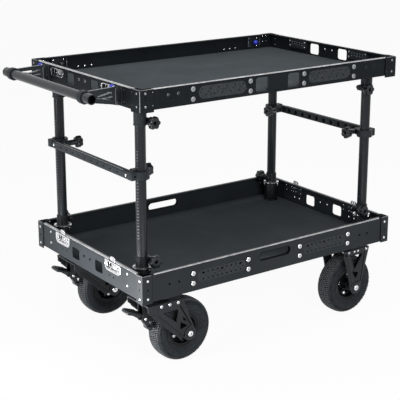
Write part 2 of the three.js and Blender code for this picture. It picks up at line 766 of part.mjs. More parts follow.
function tyreSolid() {
  const half = wheel.width / 2;
  const seat = wheel.rimRadius - wheel.rimLip + seatGap;
  const lip = wheel.rimRadius + seatGap;
  const seatHalf = half * tyre.innerShare;
  const lipInner = seatHalf - wheel.rimLip - seatGap;
  const depth = wheel.radius - wheel.rimRadius;
  const tread = wheel.radius * roundUp;
  const shoulder = wheel.radius - depth * (1 - tyre.bulgeShare);
  const bulge = wheel.rimRadius + depth * (1 - tyre.shoulderShare);
  const waist = wheel.rimRadius + depth * tyre.shoulderShare;
  const profile = [
    [seat, -lipInner], [lip, -lipInner], [lip, -seatHalf], [bulge, -half],
    [waist, -half], [shoulder, -half * tyre.bulgeShare], [tread, -half * tyre.treadShare],
    [tread, half * tyre.treadShare], [shoulder, half * tyre.bulgeShare], [waist, half],
    [bulge, half], [lip, seatHalf], [lip, lipInner], [seat, lipInner], [seat, -lipInner],
  ];
  return latheY(profile, facets.wheel);
}

// The two side plates' outline, from the crown's ends to the axle boss
function sideOutline(front, back, top, axleX) {
  const edge = fork.topEdge;
  return beltShape([
    [axleX, wheel.radius, fork.bossRadius],
    [back - edge / 4, top - edge / 4, edge / 4],
    [front + edge / 4, top - edge / 4, edge / 4],
    [front + edge / 2, top - edge, edge / 2],
  ]);
}

// Fork with axle and spacers. The caster's own axis is X = 0, the wheel's centre lies at axleX
function forkSolid(front, back, top, axleX, windows) {
  const outer = fork.outerHalf;
  const inner = outer - fork.plate;
  const parts = [block(front, back, -outer, outer, top - fork.crown, top)];
  const tools = [];
  const outline = sideOutline(front, back, top, axleX);
  for (const way of [-1, 1]) {
    parts.push(plateXZ(outline, way * inner, way * outer));
    const hubFace = wheel.hubHalf + runningGap;
    parts.push(rod('y', axle.spacerRadius, way * hubFace, way * (inner + overrun), [axleX, wheel.radius], facets.medium));
    parts.push(rod('y', axle.headRadius, way * (outer - overrun), way * (outer + axle.headLength),
      [axleX, wheel.radius], facets.small));
    for (const points of windows) {
      tools.push(plateXZ(polygon(points), way * (inner - overrun), way * (outer + overrun)));
    }
  }
  parts.push(rod('y', axle.radius, -outer, outer, [axleX, wheel.radius], facets.medium));
  return { parts, tools };
}

// Places inside a side plate, as shares of the way from the axle up to the crown's two ends
function plateWindows(front, back, top, axleX, shares) {
  const rise = top - wheel.radius;
  return shares.map((corners) => corners.map(([across, up]) => {
    const left = axleX + (front - axleX) * up;
    const right = axleX + (back - axleX) * up;
    return [left + (right - left) * across, wheel.radius + rise * up];
  }));
}

const windowShares = [
  [[0.26, 0.84], [0.78, 0.84], [0.56, 0.46]],
  [[0.3, 0.39], [0.68, 0.39], [0.5, 0.22]],
];

function swivelFork() {
  const front = fork.swivelFront;
  const back = fork.swivelBack;
  const windows = plateWindows(front, back, forkTop, caster.trail, windowShares);
  const { parts, tools } = forkSolid(front, back, forkTop, caster.trail, windows);
  parts.push(rod('z', race.lowerRadius, forkTop - overrun, forkTop + race.lowerHeight, [0, 0], facets.large));
  const cheekInner = pedal.thickness / 2 + runningGap;
  const cheekShape = beltShape([
    [pedal.pivotX, pedal.pivotZ, pedal.eyeRadius],
    [pedal.pivotX + pedal.eyeRadius * 2, forkTop - fork.crown, pedal.eyeRadius / 2],
    [pedal.pivotX - pedal.eyeRadius, forkTop - fork.crown, pedal.eyeRadius / 2],
  ]);
  for (const way of [-1, 1]) {
    parts.push(plateXZ(cheekShape, way * cheekInner, way * (cheekInner + pedal.cheek)));
  }
  const reach = cheekInner + pedal.cheek + overrun;
  parts.push(rod('y', pedal.pinRadius, -reach, reach, [pedal.pivotX, pedal.pivotZ], facets.small));
  tools.push(rod('z', kingPin.radius + seatGap, forkTop - fork.crown - overrun,
    forkTop + race.lowerHeight + overrun, [0, 0], facets.medium));
  return cut(join(parts), tools);
}

function fixedFork() {
  const top = channelFoot - seatGap - castPlate.sheet;
  const half = fork.fixedHalf;
  const windows = plateWindows(-half, half, top, 0, windowShares);
  const { parts, tools } = forkSolid(-half, half, top, 0, windows);
  parts.push(block(-castPlate.length / 2, castPlate.length / 2, -castPlate.width / 2, castPlate.width / 2,
    top - overrun, top + castPlate.sheet));
  return cut(join(parts), tools);
}

// Brake pedal: toe plate, eye on the pin, and the shoe that meets the tread
function brakePedal() {
  const half = pedal.thickness / 2;
  const lever = beltShape([
    [pedal.pivotX, pedal.pivotZ, pedal.eyeRadius],
    [pedal.toeX + pedal.toeThickness, pedal.toeZ, pedal.toeThickness / 2],
  ]);
  const shoeArm = beltShape([
    [pedal.pivotX, pedal.pivotZ, pedal.eyeRadius],
    [pedal.shoeX, pedal.shoeZ, pedal.shoeRadius],
  ]);
  const toe = beltShape([
    [pedal.toeX, pedal.toeZ, pedal.toeThickness / 2],
    [pedal.toeX + pedal.toeWidth, pedal.toeZ - pedal.toeWidth * pedal.toeSlopeShare, pedal.toeThickness / 2],
  ]);
  const lift = pedal.cheek;
  return cut(join([
    plateXZ(lever, -half, half),
    plateXZ(shoeArm, -half, half),
    plateXZ(toe, -pedal.toeWidth / 2, pedal.toeWidth / 2),
    rod('y', pedal.shoeRadius, -pedal.shoeWidth / 2, pedal.shoeWidth / 2, [pedal.shoeX, pedal.shoeZ], facets.small),
  ]), [
    rod('y', (pedal.pinRadius + seatGap) * boreUp, -half - lift, half + lift, [pedal.pivotX, pedal.pivotZ], facets.small),
  ]);
}

// Trays
const sides = [['front', -1], ['rear', 1]];
const ends = [['left', -1], ['right', 1]];

for (const [name, side] of sides) {
  let wall = sideWall(upper, side, side < 0 ? 'windows' : 'plain');
  if (side > 0) {
    for (const sx of [-1, 1]) {
      const { parts, tools } = receiverBracket(sx);
      wall = cut(join([wall, ...parts]), tools);
    }
  }
  addNode(`upper_${name}_wall`, wall, finish.black);
  addNode(`lower_${name}_wall`, sideWall(lower, side, 'slot'), finish.black);
}
for (const [name, side] of ends) {
  let wall = endWall(upper, side);
  if (side < 0) {
    for (const sy of [-1, 1]) {
      const { parts, tools } = clevisBracket(sy);
      wall = cut(join([wall, ...parts]), tools);
    }
  }
  addNode(`upper_${name}_wall`, wall, finish.black);
  addNode(`lower_${name}_wall`, endWall(lower, side), finish.black);
}
addNode('upper_deck', upperDeck(), finish.black);
addNode('lower_deck', lowerDeck(), finish.black);
addNode('upper_mat', matSheet(upperDeckTop, false), finish.mat);
addNode('lower_mat', matSheet(lowerDeckTop, true), finish.mat);

// Latch wings
for (const [levelName, level] of [['upper', upper], ['lower', lower]]) {
  for (const [endName, side] of ends) {
    for (const [rowName, way] of sides) {
      const place = [0, way * latchY, latchCentreZ(level)];
      addNode(`${levelName}_${endName}_${rowName}_latch_wing`, latchWing(side), finish.chrome, place);
    }
  }
}

// Posts, their knobs, crossbars and their knobs
for (const [endName, sx] of ends) {
  addNode(`${endName}_crossbar`, crossbar(sx), finish.black);
  for (const [rowName, sy] of sides) {
    const corner = `${rowName}_${endName}`;
    addNode(`${corner}_post`, postTube(sx, sy), finish.post);
    const knobX = sx * (postX - pinch.offset);
    const knobY = sy * postY;
    const levels = [
      ['upper', sleeveFoot + pinch.upperAboveSleeveFoot],
      ['lower', lowerDeckTop + socket.baseHeight + pinch.lowerAboveSocketBase],
    ];
    for (const [levelName, z] of levels) {
      const knob = addNode(`${levelName}_${corner}_knob`, starKnob(pinch.lugWidth / 2, star.hubLength), finish.plastic,
        [knobX, knobY, z]);
      knob.rotation.set(-sy * Math.PI / 2, 0, 0);
    }
    const barKnobNode = addNode(`${corner}_crossbar_knob`, starKnob(clamp.lugWidth / 2, clamp.hubLength), finish.plastic,
      [sx * postX, sy * (postY - clamp.lugOffset), barTop - clamp.height / 2]);
    barKnobNode.rotation.set(0, -sx * Math.PI / 2, 0);
  }
}

// Push handle
addNode('handle_tube', handleTube(), finish.tube);
for (const [rowName, sy] of sides) {
  addNode(`handle_arm_${rowName}`, handleArm(sy), finish.black);
  addNode(`handle_release_pin_${rowName}`, releaseKnob(sy), finish.blue);
}
for (const [endName, sx] of ends) {
  addNode(`accessory_plunger_${endName}`, plungerKnob(sx), finish.blue);
}

// Casters
for (const [rowName, sy] of sides) {
  const swivelPlace = [-casterX, sy * swivelY, 0];
  addNode(`${rowName}_left_fork`, swivelFork(), finish.black, swivelPlace);
  addNode(`${rowName}_left_brake_pedal`, brakePedal(), finish.black, swivelPlace);
  const leftWheel = [-casterX + caster.trail, swivelPlace[1], wheel.radius];
  addNode(`${rowName}_left_rim`, rimSolid(), finish.black, leftWheel);
  addNode(`${rowName}_left_tyre`, tyreSolid(), finish.rubber, leftWheel);
  const fixedPlace = [casterX, sy * fixedY, 0];
  addNode(`${rowName}_right_fork`, fixedFork(), finish.black, fixedPlace);
  const rightWheel = [fixedPlace[0], fixedPlace[1], wheel.radius];
  addNode(`${rowName}_right_rim`, rimSolid(), finish.black, rightWheel);
  addNode(`${rowName}_right_tyre`, tyreSolid(), finish.rubber, rightWheel);
}

// The origin is the middle of the foot of the whole cart's box
model.updateMatrixWorld(true);
const bounds = new THREE.Box3().setFromObject(model, true);
const centreX = (bounds.min.x + bounds.max.x) / 2;
const centreY = (bounds.min.y + bounds.max.y) / 2;
model.position.set(-centreX, -centreY, -bounds.min.z);

export default model;
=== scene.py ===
"""Looks of a two-tray camera cart: dressed pieces, materials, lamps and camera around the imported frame."""
import json
import math
from types import SimpleNamespace

import bpy
import bmesh
from mathutils import Matrix, Vector
from mathutils.geometry import tessellate_polygon

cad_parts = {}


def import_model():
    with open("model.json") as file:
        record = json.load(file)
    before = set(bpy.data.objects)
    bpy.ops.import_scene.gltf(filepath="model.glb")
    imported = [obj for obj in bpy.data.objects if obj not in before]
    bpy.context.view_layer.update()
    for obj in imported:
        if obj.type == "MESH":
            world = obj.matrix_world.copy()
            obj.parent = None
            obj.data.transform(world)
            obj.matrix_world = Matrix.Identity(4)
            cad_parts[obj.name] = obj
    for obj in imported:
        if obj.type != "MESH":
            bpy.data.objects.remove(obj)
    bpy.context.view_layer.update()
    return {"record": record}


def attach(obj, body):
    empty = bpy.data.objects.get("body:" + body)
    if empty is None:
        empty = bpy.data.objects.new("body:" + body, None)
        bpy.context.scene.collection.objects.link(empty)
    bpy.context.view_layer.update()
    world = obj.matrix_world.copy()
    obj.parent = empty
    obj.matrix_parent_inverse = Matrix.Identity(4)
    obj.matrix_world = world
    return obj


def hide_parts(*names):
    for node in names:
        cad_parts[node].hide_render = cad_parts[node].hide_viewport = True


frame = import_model()
BODY_OF = {node: body for body, nodes in frame["record"]["behaviour"]["bodies"].items() for node in nodes}
TAU = 2 * math.pi
SIDES = (-1, 1)
ENDS = (("left", -1), ("right", 1))
ROWS = (("front", -1), ("rear", 1))
CORNERS = [(sx, sy) for sx in SIDES for sy in SIDES]

# Lengths in this script are millimetres from the middle of the trays; WORLD turns them into frame metres.
WORLD = Matrix.Translation((0.081, 0, 0)) @ Matrix.Scale(0.001, 4)


# ---------------------------------------------------------------- shapes
class Geo:
    """Points and faces that are gathered before they become a mesh."""

    def __init__(self):
        self.v = []
        self.f = []

    def add(self, other, m=None):
        base = len(self.v)
        flip = m is not None and m.determinant() < 0
        self.v += [m @ p for p in other.v] if m is not None else list(other.v)
        for face in other.f:
            face = tuple(i + base for i in face)
            self.f.append(face[::-1] if flip else face)
        return self

    def strip(self, rings):
        """Rings of the same number of points, joined one to the next; returns where each ring starts."""
        base, n = len(self.v), len(rings[0])
        for ring in rings:
            self.v += [Vector(p) for p in ring]
        starts = [base + r * n for r in range(len(rings))]
        for a, b in zip(starts, starts[1:]):
            self.f += [(a + i, a + (i + 1) % n, b + (i + 1) % n, b + i) for i in range(n)]
        return starts


def circle(r, n, u=0.0, v=0.0):
    return [(u + r * math.cos(TAU * i / n), v + r * math.sin(TAU * i / n)) for i in range(n)]


def round_rect(u, v, w, h, c, n=5):
    out = []
    for cu, cv, a in ((1, -1, -90), (1, 1, 0), (-1, 1, 90), (-1, -1, 180)):
        for i in range(n + 1):
            t = math.radians(a + 90 * i / n)
            out.append((u + cu * (w / 2 - c) + c * math.cos(t), v + cv * (h / 2 - c) + c * math.sin(t)))
    return out


def belt(circles, n):
    """Outline round circles (u, v, r), like a belt round pulleys in counterclockwise order."""
    def tangent(a, b):
        du, dv = b[0] - a[0], b[1] - a[1]
        return math.atan2(dv, du) - math.pi / 2 + math.asin((b[2] - a[2]) / math.hypot(du, dv))
    out = []
    for i, c in enumerate(circles):
        start = tangent(circles[i - 1], c)
        end = tangent(c, circles[(i + 1) % len(circles)])
        while end < start:
            end += TAU
        for k in range(n + 1):
            t = start + (end - start) * k / n
            out.append((c[0] + c[2] * math.cos(t), c[1] + c[2] * math.sin(t)))
    return out


def soften(points, r, n=4):
    """A polygon with each corner rounded by r, or less where its sides are short."""
    out = []
    for i, p in enumerate(points):
        a, b, c = Vector(points[i - 1]), Vector(p), Vector(points[(i + 1) % len(points)])
        ba, bc = (a - b), (c - b)
        reach = min(r, ba.length * 0.45, bc.length * 0.45)
        s, e = b + ba.normalized() * reach, b + bc.normalized() * reach
        for k in range(n + 1):
            t = k / n
            q = s * (1 - t) ** 2 + b * 2 * t * (1 - t) + e * t ** 2
            out.append((q.x, q.y))
    return out


def wound(loop, ccw=True):
    """The loop, turned round where it doesn't run the asked way."""
    area = sum(p[0] * q[1] - q[0] * p[1] for p, q in zip(loop, loop[1:] + loop[:1]))
    return loop if (area > 0) == ccw else loop[::-1]


def inset(loop, d):
    """Each point moved to the left of its outline by d."""
    out = []
    n = len(loop)
    for i in range(n):
        p, q, r = Vector(loop[i - 1]), Vector(loop[i]), Vector(loop[(i + 1) % n])
        e1, e2 = (q - p), (r - q)
        if e1.length < 1e-9 or e2.length < 1e-9:
            out.append((q.x, q.y))
            continue
        e1.normalize(), e2.normalize()
        n1, n2 = Vector((-e1.y, e1.x)), Vector((-e2.y, e2.x))
        m = n1 + n2
        k = d / max(0.35, m.length_squared / 2) if m.length > 1e-6 else 0
        out.append((q.x + m.x * k, q.y + m.y * k))
    return out


def ribbon(points, w):
    """A narrow outline of width w that follows a run of points."""
    left, right = [], []
    for i, p in enumerate(points):
        a, b = Vector(points[max(i - 1, 0)]), Vector(points[min(i + 1, len(points) - 1)])
        d = (b - a).normalized() * (w / 2)
        left.append((p[0] - d.y, p[1] + d.x))
        right.append((p[0] + d.y, p[1] - d.x))
    return left + right[::-1]


def plate(outline, t, holes=(), bevel=0.5, steps=2):
    """A sheet of thickness t along +Z with through holes and rounded edges."""
    loops = [wound(list(outline))] + [wound(list(h), False) for h in holes]
    bevel = min(bevel, t * 0.49)
    angles = [math.pi / 2 * k / steps for k in range(steps + 1)]
    rows = [(bevel * (1 - math.sin(a)), bevel * (1 - math.cos(a))) for a in angles]
    rows += [(d, t - w) for d, w in rows[::-1]]
    geo = Geo()
    first, last, caps = [], [], []
    for loop in loops:
        starts = geo.strip([[(u, v, w) for u, v in (inset(loop, d) if d else loop)] for d, w in rows])
        first += [starts[0] + i for i in range(len(loop))]
        top = [starts[-1] + i for i in range(len(loop))]
        last += top
        caps.append([geo.v[i] for i in top])
    for tri in tessellate_polygon(caps):
        a, b, c = (geo.v[last[i]] for i in tri)
        tri = tri if (b - a).cross(c - a).z > 0 else tri[::-1]
        geo.f.append(tuple(last[i] for i in tri))
        geo.f.append(tuple(first[i] for i in tri[::-1]))
    return geo


def inlay(outline, t=0.5, holes=(), bevel=0.1):
    """A thin plate with one small chamfer."""
    return plate(outline, t, holes, bevel, 1)


def lathe(profile, n, closed=False):
    """(r, z) points turned round Z; the outside is passed going up."""
    geo = Geo()
    rings = []
    for r, z in profile:
        points = [(0, 0)] if abs(r) < 1e-9 else circle(r, n)
        rings.append([len(geo.v) + i for i in range(len(points))])
        geo.v += [Vector((x, y, z)) for x, y in points]
    for a, b in zip(rings, rings[1:] + rings[:1] if closed else rings[1:]):
        for i in range(n):
            j = (i + 1) % n
            if len(a) == 1 and len(b) == 1:
                continue
            if len(a) == 1:
                geo.f.append((a[0], b[j], b[i]))
            elif len(b) == 1:
                geo.f.append((a[i], a[j], b[0]))
            else:
                geo.f.append((a[i], a[j], b[j], b[i]))
    return geo


def mirrored(half):
    """A profile that starts at one side, and its mirror image in z = 0 after its last point."""
    return half + [(r, -z) for r, z in half[-2::-1]]


def loft(rings, open_foot=False):
    """Rings of the same number of points, joined one to the next and closed at both ends, or only at the last."""
    geo = Geo()
    starts, n = geo.strip(rings), len(rings[0])
    if not open_foot:
        geo.f.append(tuple(range(n))[::-1])
    geo.f.append(tuple(starts[-1] + i for i in range(n)))
    return geo


def tube(r, z0, z1, inner, edge, n):
    """A tube along Z with rounded end edges, or a round bar where inner is 0."""
    outside = [(r - edge, z0), (r, z0 + edge), (r, z1 - edge), (r - edge, z1)]
    if inner:
        inside = [(inner + edge, z1), (inner, z1 - edge), (inner, z0 + edge)]
        return lathe([(inner + edge, z0)] + outside + inside, n, True)
    return lathe([(0, z0)] + outside + [(0, z1)], n)


def brick(x0, x1, y0, y1, z0, z1, corner, bevel):
    """A box with rounded upright corners and edges."""
    w, h = abs(x1 - x0), abs(y1 - y0)
    c = min(corner, w * 0.49, h * 0.49)
    geo = plate(round_rect((x0 + x1) / 2, (y0 + y1) / 2, w, h, c, 4), abs(z1 - z0), (), bevel)
    return Geo().add(geo, move(0, 0, min(z0, z1)))


# ---------------------------------------------------------------- places
def move(x, y, z=0.0):
    return Matrix.Translation((x, y, z))


def spun(angle, axis="Z"):
    return Matrix.Rotation(angle, 4, axis)


TURN = {"+z": Matrix.Identity(4), "-z": spun(math.pi, "X"), "+x": spun(math.pi / 2, "Y"),
        "-x": spun(-math.pi / 2, "Y"), "+y": spun(-math.pi / 2, "X"), "-y": spun(math.pi / 2, "X")}


def to(axis, x, y, z):
    """Local +Z pointed along an axis, at a place."""
    return move(x, y, z) @ TURN[axis]


def x_axis(sign):
    return "-x" if sign < 0 else "+x"


def y_axis(sign):
    return "-y" if sign < 0 else "+y"


def laid(u, v, w, place):
    """Local X, Y and Z laid along u, v and w, at a place."""
    return Matrix([(u[i], v[i], w[i], place[i]) for i in range(3)] + [(0, 0, 0, 1)])


def on_x(s, x, y, z):
    """Drawn in Y and Z, thickness along s times X."""
    return laid((0, 1, 0), (0, 0, 1), (s, 0, 0), (x, y, z))


def along_x(s, x, y, z):
    """A section drawn in s times Y and in Z, that runs along X."""
    return laid((0, s, 0), (0, 0, 1), (1, 0, 0), (x, y, z))


def along_y(s, x, y, z, up=1):
    """A section drawn in s times X and in up times Z, that runs along Y."""
    return laid((s, 0, 0), (0, 0, up), (0, 1, 0), (x, y, z))


def slab(outline, y0, y1, holes=(), bevel=0.5, steps=2):
    """A plate drawn in X and Z whose thickness runs between y0 and y1."""
    m = laid((1, 0, 0), (0, 0, 1), (0, -1, 0), (0, max(y0, y1), 0))
    return Geo().add(plate(outline, abs(y1 - y0), holes, bevel, steps), m)


def cross_slab(outline, x0, x1, holes, bevel, steps=2):
    """A plate drawn in Y and Z whose thickness runs between x0 and x1."""
    return Geo().add(plate(outline, abs(x1 - x0), holes, bevel, steps), on_x(1, min(x0, x1), 0, 0))


def shader(tree, kind, **values):
    """A new shader node with values for its inputs; an underscore in a name stands for a blank."""
    node = tree.nodes.new("ShaderNode" + kind)
    for key, value in values.items():
        node.inputs[key.replace("_", " ")].default_value = value
    return node


def math_node(tree, operation, first, second):
    """A math node on two sources, each an output or a number."""
    node = shader(tree, "Math")
    node.operation = operation
    for socket, source in zip(node.inputs, (first, second)):
        if isinstance(source, float):
            socket.default_value = source
        else:
            tree.links.new(source, socket)
    return node.outputs["Value"]


def surface(name, dark, light, rough, grain, cloud, metal=0.0, wear=None, spread=0.08, coat=0.0, streak=None,
            spec=0.25):
    """A finish with clouded colour, changing gloss and a fine grain; lighter ridges give wear and painted edge
    highlight.

    grain is the scale and the depth in mm of the fine bumps, cloud the scale and the roughness of the colour's noise.
    """
    mat = bpy.data.materials.new(name + "_finish")
    mat.use_nodes = True
    tree = mat.node_tree
    link = tree.links.new
    bsdf = tree.nodes["Principled BSDF"]
    bsdf.inputs["Metallic"].default_value = metal
    bsdf.inputs["Specular IOR Level"].default_value = spec
    bsdf.inputs["Coat Weight"].default_value = coat
    place = shader(tree, "TexCoord").outputs["Object"]
    vector = place
    if streak:
        mapping = shader(tree, "Mapping", Scale=streak)
        link(place, mapping.inputs["Vector"])
        vector = mapping.outputs["Vector"]
    cloudy = shader(tree, "TexNoise", Scale=cloud[0], Detail=6, Roughness=cloud[1])
    link(vector, cloudy.inputs["Vector"])
    ramp = shader(tree, "ValToRGB")
    for stop, position, colour in zip(ramp.color_ramp.elements, (0.3, 0.7), (dark, light)):
        stop.position = position
        stop.color = (*colour, 1)
    link(cloudy.outputs["Fac"], ramp.inputs["Fac"])
    tint = ramp.outputs["Color"]
    if wear:
        # pointiness mask: convex edges lightened, partly as wear and partly as painted highlight
        ridge = shader(tree, "MapRange", From_Min=0.56, From_Max=0.72)
        link(shader(tree, "NewGeometry").outputs["Pointiness"], ridge.inputs["Value"])
        mix = shader(tree, "Mix")
        mix.data_type = "RGBA"
        mix.inputs["B"].default_value = (*wear, 1)
        link(math_node(tree, "MULTIPLY", ridge.outputs["Result"], cloudy.outputs["Fac"]), mix.inputs["Factor"])
        link(tint, mix.inputs["A"])
        tint = mix.outputs["Result"]
    link(tint, bsdf.inputs["Base Color"])
    gloss = shader(tree, "MapRange", To_Min=rough - spread, To_Max=rough + spread)
    link(cloudy.outputs["Fac"], gloss.inputs["Value"])
    link(gloss.outputs["Result"], bsdf.inputs["Roughness"])
    fine = shader(tree, "TexNoise", Scale=grain[0], Detail=3)
    link(place, fine.inputs["Vector"])
    bump = shader(tree, "Bump", Strength=0.6, Distance=grain[1] * 0.001)
    link(fine.outputs["Fac"], bump.inputs["Height"])
    link(bump.outputs["Normal"], bsdf.inputs["Normal"])
    return mat


PAINT = surface("powder_paint", (0.0150, 0.0185, 0.0215), (0.0215, 0.0260, 0.0300), 0.44, (1100, 0.05),
                (6, 0.55), spec=0.13)
# the same powder paint as PAINT, darker: painted shade for the upper tray's walls and corner angles
SHADE = surface("tray_paint", (0.0078, 0.0098, 0.0115), (0.0120, 0.0148, 0.0172), 0.46, (1100, 0.05),
                (6, 0.55), spec=0.05)
SOCKET = surface("socket_paint", (0.0050, 0.0062, 0.0073), (0.0085, 0.0104, 0.0120), 0.34,
                 (1100, 0.05), (12, 0.6), wear=(0.08, 0.085, 0.09), spec=0.12)
# the frame's black paint made lighter for the forks: painted light on the plates' lit faces
LIT_FORK_PAINT = surface("fork_paint", (0.0130, 0.0155, 0.0172), (0.0210, 0.0240, 0.0265), 0.4, (1100, 0.05),
               (12, 0.6), wear=(0.16, 0.165, 0.17), spec=0.2)
FIELD = surface("field_paint", (0.0095, 0.0118, 0.0142), (0.0276, 0.0330, 0.0382), 0.5, (1500, 0.2),
                (170, 0.7))
PANEL = surface("panel_paint", (0.0060, 0.0075, 0.0088), (0.0560, 0.0620, 0.0680), 0.6, (1500, 0.25),
                (110, 0.95), spec=0.12)
# light grey for the rims' outer edges and the angles' top edges: worn paint and painted highlight
EDGE_WEAR_AND_SHEEN = surface("rim_satin", (0.22, 0.225, 0.23), (0.58, 0.585, 0.59), 0.38, (700, 0.04), (34, 0.68),
              metal=0.3, wear=(0.8, 0.8, 0.8), spread=0.1, spec=0.4)
POST = surface("post_paint", (0.0085, 0.0106, 0.0128), (0.0140, 0.0172, 0.0202), 0.24, (900, 0.03),
               (10, 0.5), wear=(0.12, 0.12, 0.125), spread=0.07, streak=(1, 1, 0.1), spec=0.19)
MARK = surface("mark_etch", (0.050, 0.054, 0.058), (0.100, 0.105, 0.110), 0.5, (900, 0.02), (60, 0.5))
SATIN = surface("handle_satin", (0.0100, 0.0121, 0.0141), (0.0290, 0.0338, 0.0385), 0.2,
                (1300, 0.05), (14, 0.65), metal=0.04, wear=(0.3, 0.3, 0.31), spread=0.05, streak=(1, 0.06, 1), spec=0.2)
FOAM = surface("tray_foam", (0.053, 0.062, 0.068), (0.073, 0.084, 0.092), 0.9, (850, 0.35), (5, 0.6),
               spread=0.05, spec=0.08)
PLASTIC = surface("knob_plastic", (0.0062, 0.0080, 0.0098), (0.0130, 0.0163, 0.0195), 0.25,
                  (1300, 0.05), (30, 0.5), wear=(0.05, 0.058, 0.066), spec=0.34)
# near-black: the dark washers under bright screws, and painted shade in holes, slots, recesses, gaps and behind
# perforations
VOID = surface("socket_black", (0.0010, 0.0010, 0.0011), (0.0022, 0.0022, 0.0024), 0.85, (900, 0.05),
               (40, 0.5), spec=0.05)
RUBBER = surface("tyre_rubber", (0.0060, 0.0076, 0.0090), (0.0430, 0.0490, 0.0548), 0.55, (700, 0.2),
                 (85, 0.95), wear=(0.15, 0.156, 0.162), spread=0.1, spec=0.10)
GLOSS = surface("rim_gloss", (0.0045, 0.0052, 0.0060), (0.0100, 0.0110, 0.0122), 0.34, (1100, 0.02),
                (16, 0.55), wear=(0.10, 0.105, 0.11), spread=0.07, spec=0.12)
CHROME = surface("latch_chrome", (0.72, 0.73, 0.75), (0.90, 0.90, 0.91), 0.14, (500, 0.02),
                 (45, 0.6), metal=1.0)
ZINC = surface("bolt_zinc", (0.62, 0.63, 0.65), (0.88, 0.88, 0.89), 0.24, (900, 0.03), (120, 0.6),
               metal=1.0, spread=0.09)
# grey metal: a shaded copy of zinc for the upper tray's screws and rivets, painted shade in screw sockets, light lines
# painted along edges as highlights, and the dash marks on the upper latches
DULL = surface("bolt_dull", (0.16, 0.172, 0.18), (0.36, 0.378, 0.39), 0.5, (900, 0.05), (200, 0.65),
               metal=0.6, spread=0.1)
# dark steel: also a shaded copy of zinc for some of the upper tray's rivets and washers
STEEL = surface("dark_steel", (0.022, 0.024, 0.027), (0.060, 0.063, 0.067), 0.4, (900, 0.03),
                (70, 0.6), metal=0.5, wear=(0.25, 0.25, 0.25))
BLUE = surface("blue_knob", (0.018, 0.035, 0.42), (0.03, 0.055, 0.60), 0.3, (900, 0.02), (60, 0.5),
               metal=0.15, wear=(0.25, 0.3, 0.8), coat=0.3)

heaps = {}


def make(name, geo, mat, node, replaces=True, angle=34):
    """Turns gathered shapes into one object that rides with a node's body and may stand for the node."""
    mesh = bpy.data.meshes.new(name)
    mesh.from_pydata([WORLD @ p for p in geo.v], [], geo.f)
    bm = bmesh.new()
    bm.from_mesh(mesh)
    bmesh.ops.remove_doubles(bm, verts=bm.verts, dist=1e-6)
    bmesh.ops.recalc_face_normals(bm, faces=bm.faces)
    for face in bm.faces:
        face.smooth = True
    bm.to_mesh(mesh)
    bm.free()
    mesh.set_sharp_from_angle(angle=math.radians(angle))
    obj = bpy.data.objects.new(name, mesh)
    bpy.context.scene.collection.objects.link(obj)
    mesh.materials.append(mat)
    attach(obj, BODY_OF[node])
    if replaces:
        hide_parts(node)
    return obj


def heap(node, mat, geo, m=None):
    """Small things on one body and of one finish are gathered into one piece."""
    key = (BODY_OF[node], mat.name)
    if key not in heaps:
        heaps[key] = (node, mat, Geo())
    heaps[key][2].add(geo, m)


# ---------------------------------------------------------------- small hardware
def dome_bolt(r, h, recess, n=20):
    """A round-headed screw with a socket in its head."""
    return lathe([(0, 0), (r, 0), (r, h * 0.3), (r * 0.93, h * 0.62), (r * 0.75, h * 0.88), (r * 0.5, h),
                  (recess, h), (recess * 0.9, h * 0.35), (0, h * 0.25)], n)


def rivet(r, h=1.6, n=14):
    return lathe([(0, 0), (r, 0), (r * 0.93, h * 0.45), (r * 0.6, h * 0.85), (0, h)], n)


def hex_head(r, h, bevel=0.6):
    return plate(circle(r, 6), h, (), bevel)


def washer(r, inner, h):
    return lathe([(inner, 0), (r, 0), (r, h * 0.7), (r - 0.4, h), (inner, h)], 24, True)


def pit(r, h):
    """A flat hexagonal cone in the socket of a screw: painted shade in the recess."""
    return lathe([(0, 0), (r, 0), (0, h)], 6)


def bright_bolt(node, axis, x, y, z, r=9.5, h=3.4, finish=ZINC):
    """A round-headed screw on a dark washer, with painted shade in its socket."""
    spot = to(axis, x, y, z)
    heap(node, VOID, washer(r + 1.6, r * 0.5, 0.6), spot)
    heap(node, finish, dome_bolt(r, h, r * 0.36, 26), spot @ move(0, 0, 0.5))
    heap(node, DULL, pit(r * 0.34, 0.3), spot @ move(0, 0, 0.5 + h * 0.66))


# ---------------------------------------------------------------- trays
HALF_L, HALF_W = 600.0, 392.5
END_FACE, END_INNER = 597.0, 594.0
SIDE_FACE, SIDE_INNER = 389.2, 386.2
GAP = 0.3
FOLD, HEM = 18.0, 8.0  # how far a rim folds inwards, and its height
SHELF_Y = SIDE_FACE - FOLD - GAP  # half the length of what runs across between the long walls' folds
LEVELS = {
    "upper": dict(rim=1074.5, foot=1001.5, end_foot=1001.5, bracket=994.5, leg=57.0, deck=1009.5, window=1062.5),
    "lower": dict(rim=412.5, foot=309.5, end_foot=318.5, bracket=305.5, leg=41.0, deck=321.5, window=381.5),
}
LATCH_Y = 188.0
LATCH_Z = {"upper": 1050.5, "lower": 388.5}
POST_X, POST_Y = 538, 295
KNOB_Z = {"upper": 942.5, "lower": 434.5}
CLAMP_Z = 753.5
CASTER_X, LEFT_Y, RIGHT_Y = 456, 269, 291


def bow(r, degrees):
    """Points round (4, 4), from its left towards its top, or its foot where the angles are negative."""
    turns = [math.radians(a) for a in degrees]
    return [(4 - r * math.cos(t), 4 + r * math.sin(t)) for t in turns]


# Section of a folded rim: u goes inward from the outer face, v up from the foot of the fold.
RIM_SECTION = [(0, 0), *bow(4, (0, 30, 60, 90)), (16, 8), (18, 6.4), (18, 3), (16.8, 2.4), (15.6, 3.2), (14.6, 5),
               (5.2, 5), (3.6, 4.2), (3, 3), (3, 0)]


def edge_profile(top):
    """Section of the light line on the outer edge of a rim, worn paint and painted highlight; top is its width on the
    flat.
    """
    arc = (20, 38, 56, 74, 90)
    return bow(4.35, arc) + [(4 + top, 8.35), (4 + top, 7.9)] + bow(3.8, arc[::-1])


